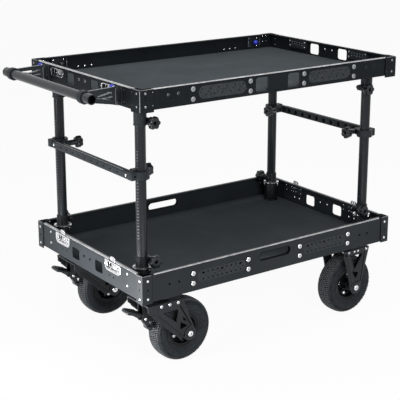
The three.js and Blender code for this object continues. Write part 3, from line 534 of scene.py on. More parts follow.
def perforation(level):
    """Small through holes between the bolt pairs of a long wall."""
    holes = []
    for way in SIDES:
        if level == "lower":
            for k in range(9):
                x = way * 250 + (k - 4) * 21.2
                holes.append(round_rect(x, 371.8, 12, 7.6, 3.7, 4) if k % 4 == 0 else circle(3.4, 12, x, 373.5))
                holes.append(circle(3.4, 12, x, 348.0))
                if k % 4 != 1:
                    holes.append(circle(1.9, 10, x + 10, 360.0))
        else:
            for k in range(6):
                x = way * 251 + (k - 2.5) * 36
                holes += [circle(2.8, 10, x, 1049.5), circle(2.8, 10, x + 17, 1029.0), circle(1.8, 10, x - 8, 1039.5)]
    return holes


def finish_wall(node, level, geo, m, length, sheen_and_wear, short_by):
    """Adds the folded rim to a wall and makes both it and its light edge line of wear and painted highlight, which
    stops short of the rim's ends.
    """
    geo.add(inlay(RIM_SECTION, length, (), 0.2), m)
    # upper walls take the darker copy of the paint, which paints their shade
    make(f"{node}_sheet", geo, SHADE if level == "upper" else PAINT, node)
    edge = inlay(edge_profile(sheen_and_wear), length - 2 * short_by)
    # light edge line: wear and painted highlight
    make(f"{node}_edge", Geo().add(edge, m @ move(0, 0, short_by)), EDGE_WEAR_AND_SHEEN, node, False)


def side_wall(level, name, sign):
    """Long wall with its rim, shelf, windows or hand slot, perforated fields and screws."""
    node = f"{level}_{name}_wall"
    lv = LEVELS[level]
    upper, near = level == "upper", sign < 0
    outer, inner = sign * SIDE_FACE, sign * SIDE_INNER
    end, foot, rim = END_INNER - GAP, lv["foot"], lv["rim"]
    axis = y_axis(sign)
    holes, small = [], []
    if upper and near:
        holes = [round_rect(way * 75, lv["window"] - 25.5, 54, 51, 9.5, 6) for way in SIDES]
        for hole in holes:
            heap(node, STEEL, slab(inset(hole, -1.6), outer - 0.4, outer + 0.1, (inset(hole, -0.5),), 0.15, 1))
    if not upper:
        slot = round_rect(0, 375.5, 154, 34, 16.5, 8)
        holes.append(slot)
        # black lining inside the hand slot: painted shade in the opening
        heap(node, VOID, slab(slot, outer + sign * 0.35, outer - sign * 12.65, (inset(slot, 1.5),), 0.4, 1))
    if near:
        small = [(way * x, 1047 if upper else 361) for way in SIDES for x in (441, 483)]
        holes += perforation(level) + [circle(4.5, 16, *spot) for spot in small]
    outline = round_rect(0, (foot + rim - HEM) / 2, 2 * end, rim - HEM - foot, 0.5, 1)
    geo = slab(outline, outer, inner, holes, 0.35, 1)
    shelf_top = lv["deck"] - 4 - GAP
    geo.add(brick(-end, end, inner, sign * (SIDE_FACE - FOLD), shelf_top - 3, shelf_top, 0.6, 0.4))
    finish_wall(node, level, geo, along_x(-sign, -end, outer, rim - HEM), 2 * end, 2.5, 46)
    if near:
        zc, height, width = (1038, 46, 208) if upper else (361, 44, 222)
        for x in (-251.5, 251.5):
            inside = [h for h in perforation(level) if abs(sum(p[0] for p in h) / len(h) - x) < width / 2 - 6]
            field = round_rect(x, zc, width, height, height / 2 - 0.5, 10)
            heap(node, PANEL if upper else FIELD, slab(field, outer - 0.55, outer + 0.05, inside, 0.25, 1))
            # black sheet on the inner face behind each field: painted shade seen through the holes
            heap(node, VOID, slab(round_rect(x, zc, width, height - 4, 8, 4), inner, inner + 0.6, (), 0.2, 1))
    for x, z in small:
        if upper:
            # same washers, grey at the left end and dark steel at the right: painted light from the left
            heap(node, STEEL if x > 0 else DULL, washer(5.0, 4.2, 0.4), to(axis, x, outer, z))
        else:
            # black discs inside, behind the holes: painted shade seen through them
            heap(node, VOID, inlay(circle(6.5, 16), 0.62, (), 0.2), to(axis, x, inner + 0.6, z))
    if near or not upper:
        for x in (-380, -128, 124, 375):
            for z in (1055, 1019) if upper else (378, 340):
                # the upper tray's screws in grey rather than bright zinc: painted shade
                bright_bolt(node, axis, x, outer, z, finish=DULL if upper else ZINC)
    if not near:
        rivets = [(x, 1023.5, 3.9) for x in (334, 365, 396) if upper]
        rivets += [(x, z, 2.8) for x in (549, 570) for z in (rim - 12, rim - 34)]
        for way in SIDES:
            for x, z, r in rivets:
                heap(node, ZINC, rivet(r), to("-y", way * x, inner, z))


def bracket(level, sx, sy):
    """Outer corner angle with its rivets and one open hole a leg."""
    node = f"{level}_{'left' if sx < 0 else 'right'}_wall"
    lv = LEVELS[level]
    upper, leg, rise = level == "upper", lv["leg"], lv["rim"] - lv["bracket"]

    def legs(shape, z, finish, u=23, v=20, end_finish=None):
        """One of the same shape on the long side and on the end, u and v from the corner."""
        heap(node, finish, shape, to(y_axis(sy), sx * (HALF_L - u), sy * HALF_W, z))
        heap(node, end_finish or finish, shape, to(x_axis(sx), sx * HALF_L, sy * (HALF_W - v), z))

    section = [(leg, 0), (leg, 3), (5.5, 3), (4.5, 3.5), (3.5, 4.5), (3, 5.5), (3, leg), (0, leg)]
    m = laid((-sx, 0, 0), (0, -sy, 0), (0, 0, 1), (sx * HALF_L, sy * HALF_W, lv["bracket"]))
    geo = Geo().add(inlay(section + bow(4, (0, -22, -45, -68, -90)), rise - 0.4, (), 0.3), m)
    top = [(0, 0), (leg * 0.86, 0), (leg, 1.5), (leg, 17), (18, 18), (17, leg), (1.5, leg), (0, leg * 0.86)]
    geo.add(inlay(soften(top, 2.5, 3), 1.6, (), 0.4), m @ move(1, 1, rise - 1.6))
    # black strip round the angle: painted shadow of the gap between the angle and the wall
    far = leg + 2.6
    gap_shadow = [(far, 2.4), (far, 4.2), (4.2, 4.2), (4.2, far), (2.4, far), (2.4, 2.4)]
    heap(node, VOID, inlay(gap_shadow, rise - 12, (), 0.2), m @ move(0, 0, 9))
    # light line along the angle's top edges: worn paint and painted highlight
    far = leg * 0.9
    line = [(far, -0.25), (far, 1.6), (1.6, 1.6), (1.6, far), (-0.25, far), (-0.25, 3), (0.9, 0.9), (3, -0.25)]
    heap(node, EDGE_WEAR_AND_SHEEN, inlay(line), m @ move(0, 0, rise - 0.6))
    # grey strip down the rounded corner of the upper angles: worn paint and painted highlight
    if upper:
        sheen_and_wear = [(1.9, 0.25), (2.0, 0.7), (0.7, 2.0), (0.25, 1.9), (0.5, 1.1), (1.1, 0.5)]
        heap(node, DULL, inlay(sheen_and_wear, rise - 8), m @ move(0, 0, 4))
    high, low = (1061.5, 1016) if upper else (392.5, 324.5)
    middle = (high + low) / 2
    for z in (high, low):
        # upper rivets in grey and dark steel rather than zinc: painted shade; the small ones lighter at the left end,
        # painted light from the left
        legs(rivet(4.4 if upper else 4.9), z, DULL if upper else ZINC)
        if upper:
            legs(rivet(2.0), z + 2, DULL if sx < 0 else STEEL, 52, 50, STEEL)
    # black discs on the legs: painted shade of small dimples
    dimple_shade = lathe([(0, 0), (2.4, 0), (2.0, 0.2), (0, 0.1)] if upper else [(0, 0), (3.6, 0), (3.0, 0.25), (0, 0.1)], 14)
    for z in (middle, middle + 11) if upper else (middle,):
        legs(dimple_shade, z, VOID)
    for z in (high - 8, low + 10):
        heap(node, ZINC, rivet(3.4), to(x_axis(-sx), sx * END_INNER, sy * (HALF_W - 40), z))
    return geo


def latch_dish(node, level, sx, y):
    """Pressed dish of a butterfly latch, let into the end wall, with its catch."""
    z = LATCH_Z[level]
    low = level == "lower"
    m = on_x(sx, sx * (END_FACE + 0.05), y, z)
    steps = ((107, 33, 5, 0.2), (101, 28, 6, 0.0), (97, 25, 6, -2.5), (94, 23, 7, -7.8), (90, 20, 7, -8.7),
             (60, 12, 5, -8.9))
    dish = loft([[(u, v, d) for u, v in round_rect(0, 0, w, h, c, 6)] for w, h, c, d in steps], True)
    heap(node, CHROME if low else STEEL, dish, m)
    top, foot = (19.0, -22.5) if low else (16.5, -17.5)
    flange = [(-55, top), (-55, foot + 12), (-43, foot), (43, foot), (55, foot + 12), (55, top)]
    opening = round_rect(0, -1, 88, 28, 9, 6) if low else round_rect(0, -1, 88, 26, 10, 6)
    heap(node, CHROME if low else PAINT, plate(soften(flange, 7, 5), 1.5, (opening,), 0.6), m)
    # black outline a little larger than the flange: painted shadow round its edge
    flange_shadow = soften([(u * 1.035, v * 1.05 - 0.2) for u, v in flange], 8, 5)
    heap(node, VOID, inlay(flange_shadow, 0.35, (opening,)), m)
    if not low:
        border = inlay(round_rect(0, -1, 92, 29, 11, 6), 1.0, (round_rect(0, -1, 87, 25, 10, 6),), 0.35)
        heap(node, CHROME, border, m @ move(0, 0, 1.3))
    # rivets, the round seat of the wing with a black ring round it as painted shade of its groove, and the strap that
    # runs up to the catch, with painted shadow behind it and black lines of painted shade along it and beside the catch
    strap = soften([(-19, -8), (-19, 6), (-9, 15), (9, 15), (17, 6), (17, -8), (9, -11), (-9, -11)], 4)
    for finish, shape, place in (
            (ZINC, rivet(2.6, 1.0), (-49.5, 2, 1.4)),
            (ZINC, rivet(2.6, 1.0), (49.5, 2, 1.4)),
            (CHROME, plate(circle(13.5, 36), 1.6, (circle(10.5, 30),)), (4, -1, -7.6)),
            (VOID, inlay(circle(17.2, 36), 0.7, (circle(13.8, 36),)), (4, -1, -8.6)),
            (VOID, inlay([(u * 1.16, v * 1.1) for u, v in strap], 0.6), (-24, 0, -8.4)),
            (CHROME, plate(strap, 2.4, (circle(3.6, 16, -2, 3), circle(2.2, 12, 9, -3)), 0.8), (-24, 0, -7.6)),
            (VOID, inlay(ribbon([(-10, 13), (-14, 6), (-13, -4), (-8, -9)], 2.2), 0.4), (-24, 0, -5.1)),
            (VOID, inlay(ribbon([(22, 12), (27, 6), (28, -3), (25, -9)], 3.0), 0.6), (0, 0, -8.2)),
            (CHROME, plate(ribbon([(30, 8), (35, 3), (34, -6), (28, -9)], 4.0), 2.0, (), 0.6), (0, 0, -8.2))):
        heap(node, finish, shape, m @ move(*place))
    inner = on_x(-sx, sx * (END_FACE - 12.7), y, z)
    heap(node, PAINT, plate(round_rect(0, 0, 112, 37.5, 6, 5), 1.4, (), 0.4), inner)
    if low:
        hold = on_x(sx, sx * 594.5, y, 412.5)
        hook = soften([(-17, -3), (17, -3), (17, 9), (11, 14.5), (-11, 14.5), (-17, 9)], 3)
        heap(node, CHROME, plate(hook, 3, (circle(3.4, 14, -5, 6), circle(2.4, 12, 7, 4)), 0.7), hold)
        # black line under the hook: painted shadow
        heap(node, VOID, inlay(ribbon([(-24, 0), (-19, -5), (19, -5), (24, 0)], 3)), hold @ move(0, 0, 3))
        heap(node, CHROME, tube(3.0, -12, 12, 0, 0.6, 18), to("+y", sx * 596.5, y, 421.5))
        marks = [((k - 1) * 15, v, ZINC, rivet(2.8, 1.1)) for k in range(3) for v in (-9, 8)]
    else:
        dash = inlay(round_rect(0, 0, 6, 2.4, 1.1, 3), 0.5, (), 0.15)
        marks = [((k - 2) * 16, v + k % 2 * 2, DULL, dash) for k in range(5) for v in (-3, 7)]
    marks += [(u, v, ZINC, rivet(3.0, 1.2)) for u in (-48, 48) for v in (-10, 10)]
    for u, v, finish, shape in marks:
        heap(node, finish, shape, inner @ move(u, v, 1.4))
    walls = inlay(round_rect(0, 0, 111, 37, 6.5, 5), 11.2, (round_rect(0, 0, 108, 34, 5, 5),), 0.2)
    heap(node, PAINT, walls, on_x(sx, sx * (END_FACE - 12.5), y, z))


def end_wall(level, name, sign):
    """Short wall with its rim, shelf, windows and latches, and the two corner angles that it carries."""
    node = f"{level}_{name}_wall"
    lv = LEVELS[level]
    upper, foot, rim, z_w = level == "upper", lv["end_foot"], lv["rim"], lv["window"] - 22
    outer, inner = sign * END_FACE, sign * END_INNER
    axis = x_axis(sign)
    holes = [round_rect(way * 87, z_w, 54, 44, 9, 6) for way in SIDES]
    holes += [circle(4.5, 16, way * 22, z_w + 9) for way in SIDES]
    holes += [round_rect(way * LATCH_Y, LATCH_Z[level], 108, 34, 5, 5) for way in SIDES]
    if not upper:
        holes += [circle(3.6, 14, way * (LATCH_Y - 10) + d, 350) for way in SIDES for d in (-16, 16)]
    outline = round_rect(0, (foot + rim - HEM) / 2, 2 * SIDE_FACE, rim - HEM - foot, 0.5, 1)
    geo = cross_slab(outline, inner, outer, holes, 0.35, 1)
    shelf_top = lv["deck"] - 4 - GAP
    geo.add(brick(inner, sign * (END_FACE - FOLD), -SHELF_Y, SHELF_Y, shelf_top - 3, shelf_top, 0.6, 0.4))
    for sy in SIDES:
        # washers at the small holes: grey on the upper tray; on the lower, black rings that paint shade round the holes
        heap(node, DULL if upper else VOID, washer(5.4, 3.4, 0.6), to(axis, outer, sy * 22, z_w + 9))
        geo.add(bracket(level, sign, sy))
        latch_dish(node, level, sign, sy * LATCH_Y)
        for z in (1061, 1019) if upper else (392.5, 347.5):
            # upper rivets in dark steel rather than zinc: painted shade
            heap(node, STEEL if upper else ZINC, rivet(3.4 if upper else 4.8), to(axis, outer, sy * 287.5, z))
    finish_wall(node, level, geo, along_y(-sign, outer, -SHELF_Y, rim - HEM), 2 * SHELF_Y, 5.5, 23)


def latch_wing(level, name, sx, row, sy):
    """Folding butterfly wing on its stem in the dish."""
    node = f"{level}_{name}_{row}_latch_wing"
    half = [(-15, -4), (-13, -7.2), (-4, -7.5), (4, -7.5), (13, -7.2), (15, -4)]
    wing = half + [(-u, -v) for u, v in half]
    loops = [soften([(way * 5.5, -4.4), (way * 5.5, 4.4), (way * 11.6, 3.6), (way * 11.6, -3.6)], 2) for way in SIDES]
    geo = plate(soften(wing, 2.5), 2.4, loops, 0.7)
    geo.v = [p + Vector((0, 0, 0.6 - 0.9 * (abs(p.x) / 15) ** 2)) for p in geo.v]
    geo.add(tube(5.6, -4.6, 0.4, 0, 0.5, 24))
    geo.add(rivet(4.2, 1.4, 20), move(0, 0, 2.6))
    m = on_x(sx, sx * (END_FACE - 5.9), sy * LATCH_Y, LATCH_Z[level])
    make(f"{node}_chrome", Geo().add(geo, m), CHROME, node)


def knuckle(x, y, sx, z):
    """Pinch lug on the inner side of a sleeve: two cheeks with a slit."""
    outline = belt([(19, -8, 3), (33, -5, 6), (33, 5, 6), (19, 8, 3)], 5)
    out = Geo()
    for near_side in (-14, 1.3):
        out.add(plate(outline, 12.7, (), 0.8), along_y(-sx, x, y + near_side, z))
    return out


def flange_bolts(node, x, y, z, spread):
    """The four bolts that hold a caster's plate, seen from below."""
    for dx, dy in CORNERS:
        heap(node, ZINC, hex_head(7.5, 5), to("-z", x + dx * spread, y + dy * 48, z))


def decks():
    """Both deck plates, the sleeves and sockets of the posts, and the channels and plates of the casters."""
    x, y = END_INNER - GAP, SIDE_INNER - GAP
    up = brick(-x, x, -y, y, 1005.5, 1009.5, 2, 0.8)
    low = brick(-x, x, -y, y, 317.5, 321.5, 2, 0.8)
    sleeve = lathe([(19.8, 931.5), (23.6, 931.5), (24.0, 932.2), (24.0, 936), (23.2, 937), (23.2, 996), (25.5, 999.5),
                    (33.2, 1001.5), (34, 1002.2), (34, 1005.8), (19.8, 1005.8)], 56, True)
    sock = lathe([(19.8, 321.2), (32, 321.2), (32, 327.4), (30, 328.6), (28, 331), (28, 404.5), (26.5, 407.5),
                  (23.6, 408.2), (23.0, 409.5), (23.0, 449.2), (22.0, 451.5), (20.4, 451.5), (19.8, 450.8)], 56, True)
    flange = lathe([(23.1, 407.9), (32.6, 407.9), (32.6, 411.0), (26.5, 411.0), (25.2, 413.4), (23.1, 413.8)], 56, True)
    lip = lathe([(32.4, 407.4), (34.0, 407.6), (34.4, 409.4), (34.0, 411.2), (32.4, 411.4)], 56, True)
    tab = plate(belt([(24.5, -12, 3), (30, -12, 3), (32, 4, 3), (24.5, 4, 3)], 8), 13, (), 1.4)
    for sx, sy in CORNERS:
        px, py = sx * POST_X, sy * POST_Y
        post = move(px, py)
        up.add(sleeve, post)
        up.add(knuckle(px, py, sx, KNOB_Z["upper"]))
        for k in range(4):
            heap("upper_deck", STEEL, hex_head(4.5, 2.6), post @ to("-z", *polar(29, math.pi * (k + 0.5) / 2, 1001.9)))
        heap("lower_deck", SOCKET, knuckle(px, py, sx, KNOB_Z["lower"]))
        for finish, shape in ((SOCKET, sock), (STEEL, flange), (CHROME, lip)):
            heap("lower_deck", finish, shape, post)
        for way in SIDES:
            out = Vector((way, -way, 0)) / math.sqrt(2)
            side = Vector((out.y, -out.x, 0))
            m = laid(out, (0, 0, 1), side, Vector((px, py, 405)) - side * 6.5)
            heap("lower_deck", CHROME, tab, m)
            heap("lower_deck", ZINC, rivet(3.4, 1.4), m @ move(28.5, -5, 13))
            heap("lower_deck", ZINC, rivet(3.4, 1.4), m @ to("-z", 28.5, -5, 0))
    channel = inlay([(-38, 20.5), (-38, 2), (-36, 0), (36, 0), (38, 2), (38, 20.5), (35, 20.5), (35, 3), (-35, 3),
                     (-35, 20.5)], 2 * SHELF_Y, (), 0.3)
    race = lathe([(0, 277.8), (33, 277.8), (36.5, 279.6), (38, 283.5), (38, 291.6), (0, 291.6)], 56)
    for sx in SIDES:
        cx = sx * CASTER_X
        low.add(channel, along_y(1, cx, -SHELF_Y, 297.5))
        for sy in SIDES:
            cy = sy * (LEFT_Y if sx < 0 else RIGHT_Y)
            if sx < 0:
                caster = move(cx, cy)
                low.add(brick(-62, 62, -62, 62, 291.5, 297.5, 10, 0.9), caster)
                low.add(race, caster)
                low.add(tube(8, 255, 279, 0, 0.4, 24), caster)
                low.add(hex_head(12.4, 8, 0.8), caster @ move(0, 0, 254.9))
            flange_bolts("lower_deck", cx, cy, 291.4, 47.52)
    make("upper_deck_sheet", up, PAINT, "upper_deck")
    make("lower_deck_sheet", low, PAINT, "lower_deck")


def mats():
    """Two foam sheets that lie on the decks; the lower one has a hole for each socket."""
    top = brick(-588, 588, -380.2, 380.2, 1009.8, 1014.8, 6, 1.6)
    upper = make("upper_mat_foam", top, FOAM, "upper_mat")
    holes = [circle(28.6, 48, sx * POST_X, sy * POST_Y) for sx, sy in CORNERS]
    low = Geo().add(plate(round_rect(0, 0, 1176, 760.4, 6), 5, holes, 1.2), move(0, 0, 321.8))
    lower = make("lower_mat_foam", low, FOAM, "lower_mat")


# ---------------------------------------------------------------- posts, knobs, crossbars
def polar(r, a, z):
    return r * math.cos(a), r * math.sin(a), z


def star_knob(node, m, lug_half, hub):
    """Six-lobed knob on a hub, with its threaded bolt through a lug and the bolt's nut."""
    angles = [TAU * i / 84 for i in range(84)]
    foot = lug_half + 0.3
    head = foot + hub

    def star(scale, z, round_share=0.0):
        out = []
        for a in angles:
            r = 23.8 - 4.2 * (0.5 - math.cos(6 * a) / 2) ** 1.3
            out.append(polar(scale * (r * (1 - round_share) + 23.0 * round_share), a, head + z))
        return out

    def disc(r, z):
        return [polar(r, a, z) for a in angles]

    body = loft([disc(9.5, foot), disc(11, foot + 1), disc(11, head - 3), disc(12.5, head - 0.5), star(0.72, 0, 0.3),
                 star(0.9, 1.2), star(0.985, 4), star(1, 8), star(1, 16), star(0.985, 20.5), star(0.93, 23.2),
                 star(0.8, 24.4, 0.2), disc(14, head + 24.6), disc(11, head + 24.2), disc(10, head + 22.2),
                 disc(7.2, head + 21.8), disc(6.4, head + 20.8), disc(6.2, head + 12)])
    make(f"{node}_head", Geo().add(body, m), PLASTIC, node)
    # black disc at the foot of the face's recess: painted shade
    heap(node, VOID, lathe([(0, 0), (6.1, 0), (5.6, 0.4), (0, 0.3)], 20), m @ move(0, 0, head + 15.4))
    rod = tube(3.6, -lug_half - 8.3, foot + 1, 0, 0.4, 14)
    for k in range(int((2 * lug_half + 8) / 1.25)):
        z = -lug_half - 7 + k * 1.25
        rod.add(lathe([(3.5, z), (4, z + 0.45), (4, z + 0.8), (3.5, z + 1.25)], 14))
    rod.add(hex_head(7.0, 8.0), move(0, 0, -lug_half - 8.3))
    rod.add(tube(4.4, head + 12, head + 15, 2.6, 0.3, 14))
    heap(node, STEEL, rod, m)


def posts():
    """The four tubes with their height marks, and the twelve knobs round them."""
    tick = inlay(round_rect(0, 0, 7.6, 4.2, 1.6, 3), 0.7, (), 0.15)
    for en, sx in ENDS:
        for rn, sy in ROWS:
            node = f"{rn}_{en}_post"
            x, y = sx * POST_X, sy * POST_Y
            make(f"{node}_tube", Geo().add(tube(19.5, 321.8, 1001.5, 16.5, 0.8, 64), move(x, y)), POST, node)
            lean = math.atan2(-0.38 if sy < 0 else -0.2, sx)
            for k in range(29):
                z = 521 + k * 11.4
                if not 728 < z < 779:
                    heap(node, MARK, tick, move(x, y, z) @ spun(lean) @ on_x(1, 19.1, 0, 0))
            for level, z in KNOB_Z.items():
                star_knob(f"{level}_{rn}_{en}_knob", to(y_axis(sy), sx * 509, y, z), 14, 15)
            star_knob(f"{rn}_{en}_crossbar_knob", to(x_axis(-sx), x, sy * 252, CLAMP_Z), 13, 32)


def crossbars():
    """Perforated box bars with rounded edges, and a pinch clamp for each post."""
    half, z0, z1 = 279.0, 736.5, 766.5
    zc = (z0 + z1) / 2
    hole_y = [(k - 4.5) * 46 for k in range(10)]
    face = round_rect(0, zc, 2 * half, 22.0, 5)
    ring = lathe([(19.8, 739.3), (20.4, 738.5), (30.2, 738.5), (31.6, 740), (31.6, 767), (30.2, 768.5), (20.4, 768.5),
                  (19.8, 767.7)], 56, True)
    lug = plate(belt([(48, 7, 6.5), (48, 19, 6.5), (24, 22.5, 3), (24, 3.5, 3)], 5), 11.6, (), 0.8)
    turns = [math.radians(a) for a in range(0, 91, 15)]
    for en, sx in ENDS:
        node = f"{en}_crossbar"
        outer, inner = sx * 581, sx * 560
        geo = cross_slab(face, outer - sx * 3, outer, [circle(3.6, 14, y, zc) for y in hole_y], 0.4)
        geo.add(cross_slab(face, inner, inner + sx * 3, [circle(9, 24, y, zc) for y in hole_y], 0.4))
        for z in (z0, z1 - 3):
            geo.add(brick(inner + sx * 4, outer - sx * 4, 5 - half, half - 5, z, z + 3, 2, 0.3))
        for cx, qx in ((inner + sx * 4, -sx), (outer - sx * 4, sx)):
            for cz, qz in ((z0 + 4, -1), (z1 - 4, 1)):
                edge = [(qx * 4 * math.cos(t), qz * 4 * math.sin(t)) for t in turns]
                edge += [(qx * math.cos(t), qz * math.sin(t)) for t in turns[::-2]]
                geo.add(inlay(edge, 2 * half - 4, (), 0.2), along_y(1, cx, 2 - half, cz))
        # black discs inside the bar behind its large holes: painted shade seen through them
        for y in hole_y:
            heap(node, VOID, inlay(circle(8.8, 24), 0.4), on_x(1, inner + sx * 3.2, y, zc))
        # light line along the bar's top outer edge: painted highlight
        line = inlay([(0, 0), (1.8, 0), (2.4, 0.6), (2.4, 1.0), (0, 1.0)], 2 * half - 70)
        heap(node, DULL, line, along_y(-sx, outer - sx * 1.2, 35 - half, z1 + 0.3, -1))
        for sy in SIDES:
            px, py = sx * POST_X, sy * POST_Y
            geo.add(ring, move(px, py))
            geo.add(brick(px + sx * 20.5, outer + sx * 4, sy * 279, sy * 309, 738.5, 768.5, 4, 1.8))
            for near_side in (-13, 1.4):
                geo.add(lug, along_x(-sy, px + near_side, py, 740.5))
            bright_bolt(node, x_axis(sx), outer, sy * 265, zc, 5.6, 2.6)
            clamp = to(y_axis(sy), px + sx * 34, sy * 308.9, CLAMP_Z)
            # black disc in the washer's hole: painted shade
            heap(node, VOID, inlay(circle(4.4, 18), 0.4), clamp)
            heap(node, STEEL, washer(6.0, 4.5, 0.7), clamp)
        make(f"{node}_bar", geo, PAINT, node)


# ---------------------------------------------------------------- push handle
HANDLE_X, HANDLE_Z = -740, 1048.5
PIVOT_X, PIVOT_Z = -616, 1015.5
PIN_X, PIN_Z = -615, 1065


def push_handle():
    """Hollow grip tube with end collars, held by two ribbed arms."""
    grip = to("+y", HANDLE_X, 0, HANDLE_Z)
    geo = tube(17, -320, 320, 14.2, 0.8, 56)
    # black cup lining each end of the bore: painted shade inside the open tube
    bore = lathe([(0, 296), (14.1, 296), (14.1, 318.4), (13.7, 318.6), (13.5, 297.5), (0, 297.2)], 40)
    for way in SIDES:
        geo.add(tube(17.9, *sorted((way * 278, way * 319.6)), 16.8, 0.6, 56))
        heap("handle_tube", VOID, bore, to(y_axis(way), HANDLE_X, 0, HANDLE_Z))
    make("handle_tube_satin", Geo().add(geo, grip), SATIN, "handle_tube")
    outline = belt([(PIVOT_X, PIVOT_Z, 9), (PIVOT_X, 1065, 6), (HANDLE_X, 1051.5, 15)], 8)
    window = soften([(-629.5, 1024.5), (-629.5, 1056), (-712, 1054), (-712, 1043)], 4)
    holes = [window, circle(17.3, 48, HANDLE_X, HANDLE_Z), circle(5.3, 24, PIVOT_X, PIVOT_Z),
             circle(3.9, 20, PIN_X, PIN_Z)]
    strut = ribbon([(-628, 1031), (-660, 1041), (-712, 1050)], 4.5)
    web = soften([(-628, 1023), (-628, 1034), (-712, 1051), (-712, 1042)], 2)
    relief = soften([(-636, 1027.5), (-636, 1031), (-668, 1039), (-668, 1037)], 2)
    # light lines painted along the arm's edges as highlights: points, width, half of the length across the arm, bevel
    lines = (([(-632, 1070.1), (-700, 1067.6), (-724, 1066.6)], 1.0, 3.5, 0.2),
             ([(-631, 1024.0), (-668, 1033.4), (-706, 1041.8)], 2.2, 4.8, 0.3),
             ([(-634, 1052.6), (-660, 1047.6), (-690, 1043.2)], 2.2, 4.8, 0.3),
             ([(-630, 1036.6), (-655, 1035.6), (-680, 1034.8)], 2.2, 4.8, 0.3))
    for rn, sy in ROWS:
        node = f"handle_arm_{rn}"
        mid = sy * 264
        arm = slab(outline, mid - 6, mid + 6, holes, 1.4, 3)
        arm.add(tube(23.5, mid - 11.5, mid + 11.5, 17.3, 1.8, 56), grip)
        arm.add(slab(strut, mid - 4, mid + 4, (), 0.8))
        arm.add(slab(web, mid - 1, mid + 1, [relief], 0.4))
        make(f"{node}_cast", arm, PAINT, node)
        heap(node, ZINC, dome_bolt(4.5, 2.4, 1.8), to("-z", HANDLE_X, mid, 1025.2))
        for points, width, reach, bevel in lines:
            heap(node, DULL, slab(ribbon(points, width), mid - reach, mid + reach, (), bevel, 1))
        clevis(rn, mid)


def clevis(rn, mid):
    """Bracket between whose cheeks an arm folds, with its pivot and its release pin."""
    node = "upper_left_wall"
    geo = cross_slab(round_rect(mid, 1038.5, 34, 66, 4), -602, -597, (), 0.8)
    cheek = belt([(-601, 1069, 2.5), (-601, 1008, 2.5), (-612, 1014.5, 9), (-612, 1062.5, 9)], 6)
    for way in SIDES:
        a, b = sorted((mid + way * 6.6, mid + way * 11.6))
        geo.add(slab(cheek, a, b, (), 0.8))
        heap(node, STEEL, dome_bolt(6, 2.4, 2), to(y_axis(way), PIVOT_X, mid + way * 11.6, PIVOT_Z))
        # light line down each cheek: painted highlight
        heap(node, DULL, slab(ribbon([(-621.2, 1012), (-621.2, 1066)], 0.9), a + 0.8, b - 0.8, (), 0.2, 1))
        for z in (1013, 1064):
            heap(node, STEEL, rivet(2.6, 1.2), to("-x", -602, mid + way * 14, z))
    geo.add(tube(5, mid - 11.6, mid + 11.6, 0, 0.4, 24), to("+y", PIVOT_X, 0, PIVOT_Z))
    heap(node, PAINT, geo)
    pin_node = f"handle_release_pin_{rn}"
    pin = to("+y", PIN_X, mid + 11.9, PIN_Z)
    ribs = []
    for z in (4.4, 8.2, 12.0):
        ribs += [(9.0, z + 0.9), (9, z + 2.6), (8.5, z + 3.3)]
    cap = lathe([(0, 2), (6, 2), (6.4, 4.0), (8.4, 4.4)] + ribs + [(8.8, 16.2), (7.6, 17.5), (4, 18), (0, 18)], 36)
    make(f"{pin_node}_cap", Geo().add(cap, pin), BLUE, pin_node)
    heap(pin_node, ZINC, tube(3.5, -5.2, 3, 0, 0.3, 20).add(tube(6, 0, 2.4, 0, 0.5, 28)), pin)
    heap(pin_node, ZINC, rivet(2.2, 0.6), pin @ move(0, 0, 17.9))


def receivers():
    """The two accessory brackets inside the rear wall, each with its sprung plunger."""
    node = "upper_rear_wall"
    rib = belt([(386, 1022, 3), (386, 1063, 3), (376, 1060, 6), (376, 1025, 6)], 5)
    cap = lathe([(0, 0), (9, 0), (10, 1), (10, 3.6), (9.4, 4.4), (10, 5.2), (10, 8.6), (9.4, 9.4), (10, 10.2),
                 (9.4, 12.4), (7, 14.8), (3.5, 15.9), (0, 16)], 36)
    for en, sx in ENDS:
        x = sx * 488
        geo = slab(round_rect(x, 1042.5, 66, 48, 3), 383.1, 386.3, (), 0.6)
        for d in (-33, 30):
            geo.add(cross_slab(rib, x + d, x + d + 3, (), 0.6))
            # light strip along each rib's edge: painted highlight
            heap(node, DULL, brick(x + d + 0.6, x + d + 2.4, 369.6, 370.3, 1030, 1056, 0.3, 0.1))
        geo.add(tube(10, 0, 11.5, 4.3, 0.8, 32), to("-y", x + 8, 386.2, 1042.5))
        heap(node, PAINT, geo)
        for dx in (-20, 26):
            for z in (1025, 1060):
                heap(node, ZINC, rivet(3.2), to("-y", x + dx, 383.1, z))
        plunger = f"accessory_plunger_{en}"
        m = to("-y", x + 8, 374.9, 1042.5)
        make(f"{plunger}_cap", Geo().add(cap, m), BLUE if sx > 0 else PLASTIC, plunger)
        heap(plunger, ZINC, tube(4, -7.5, 1, 0, 0.3, 20), m)


# ---------------------------------------------------------------- wheels and casters
AXLE_Z = 122.5


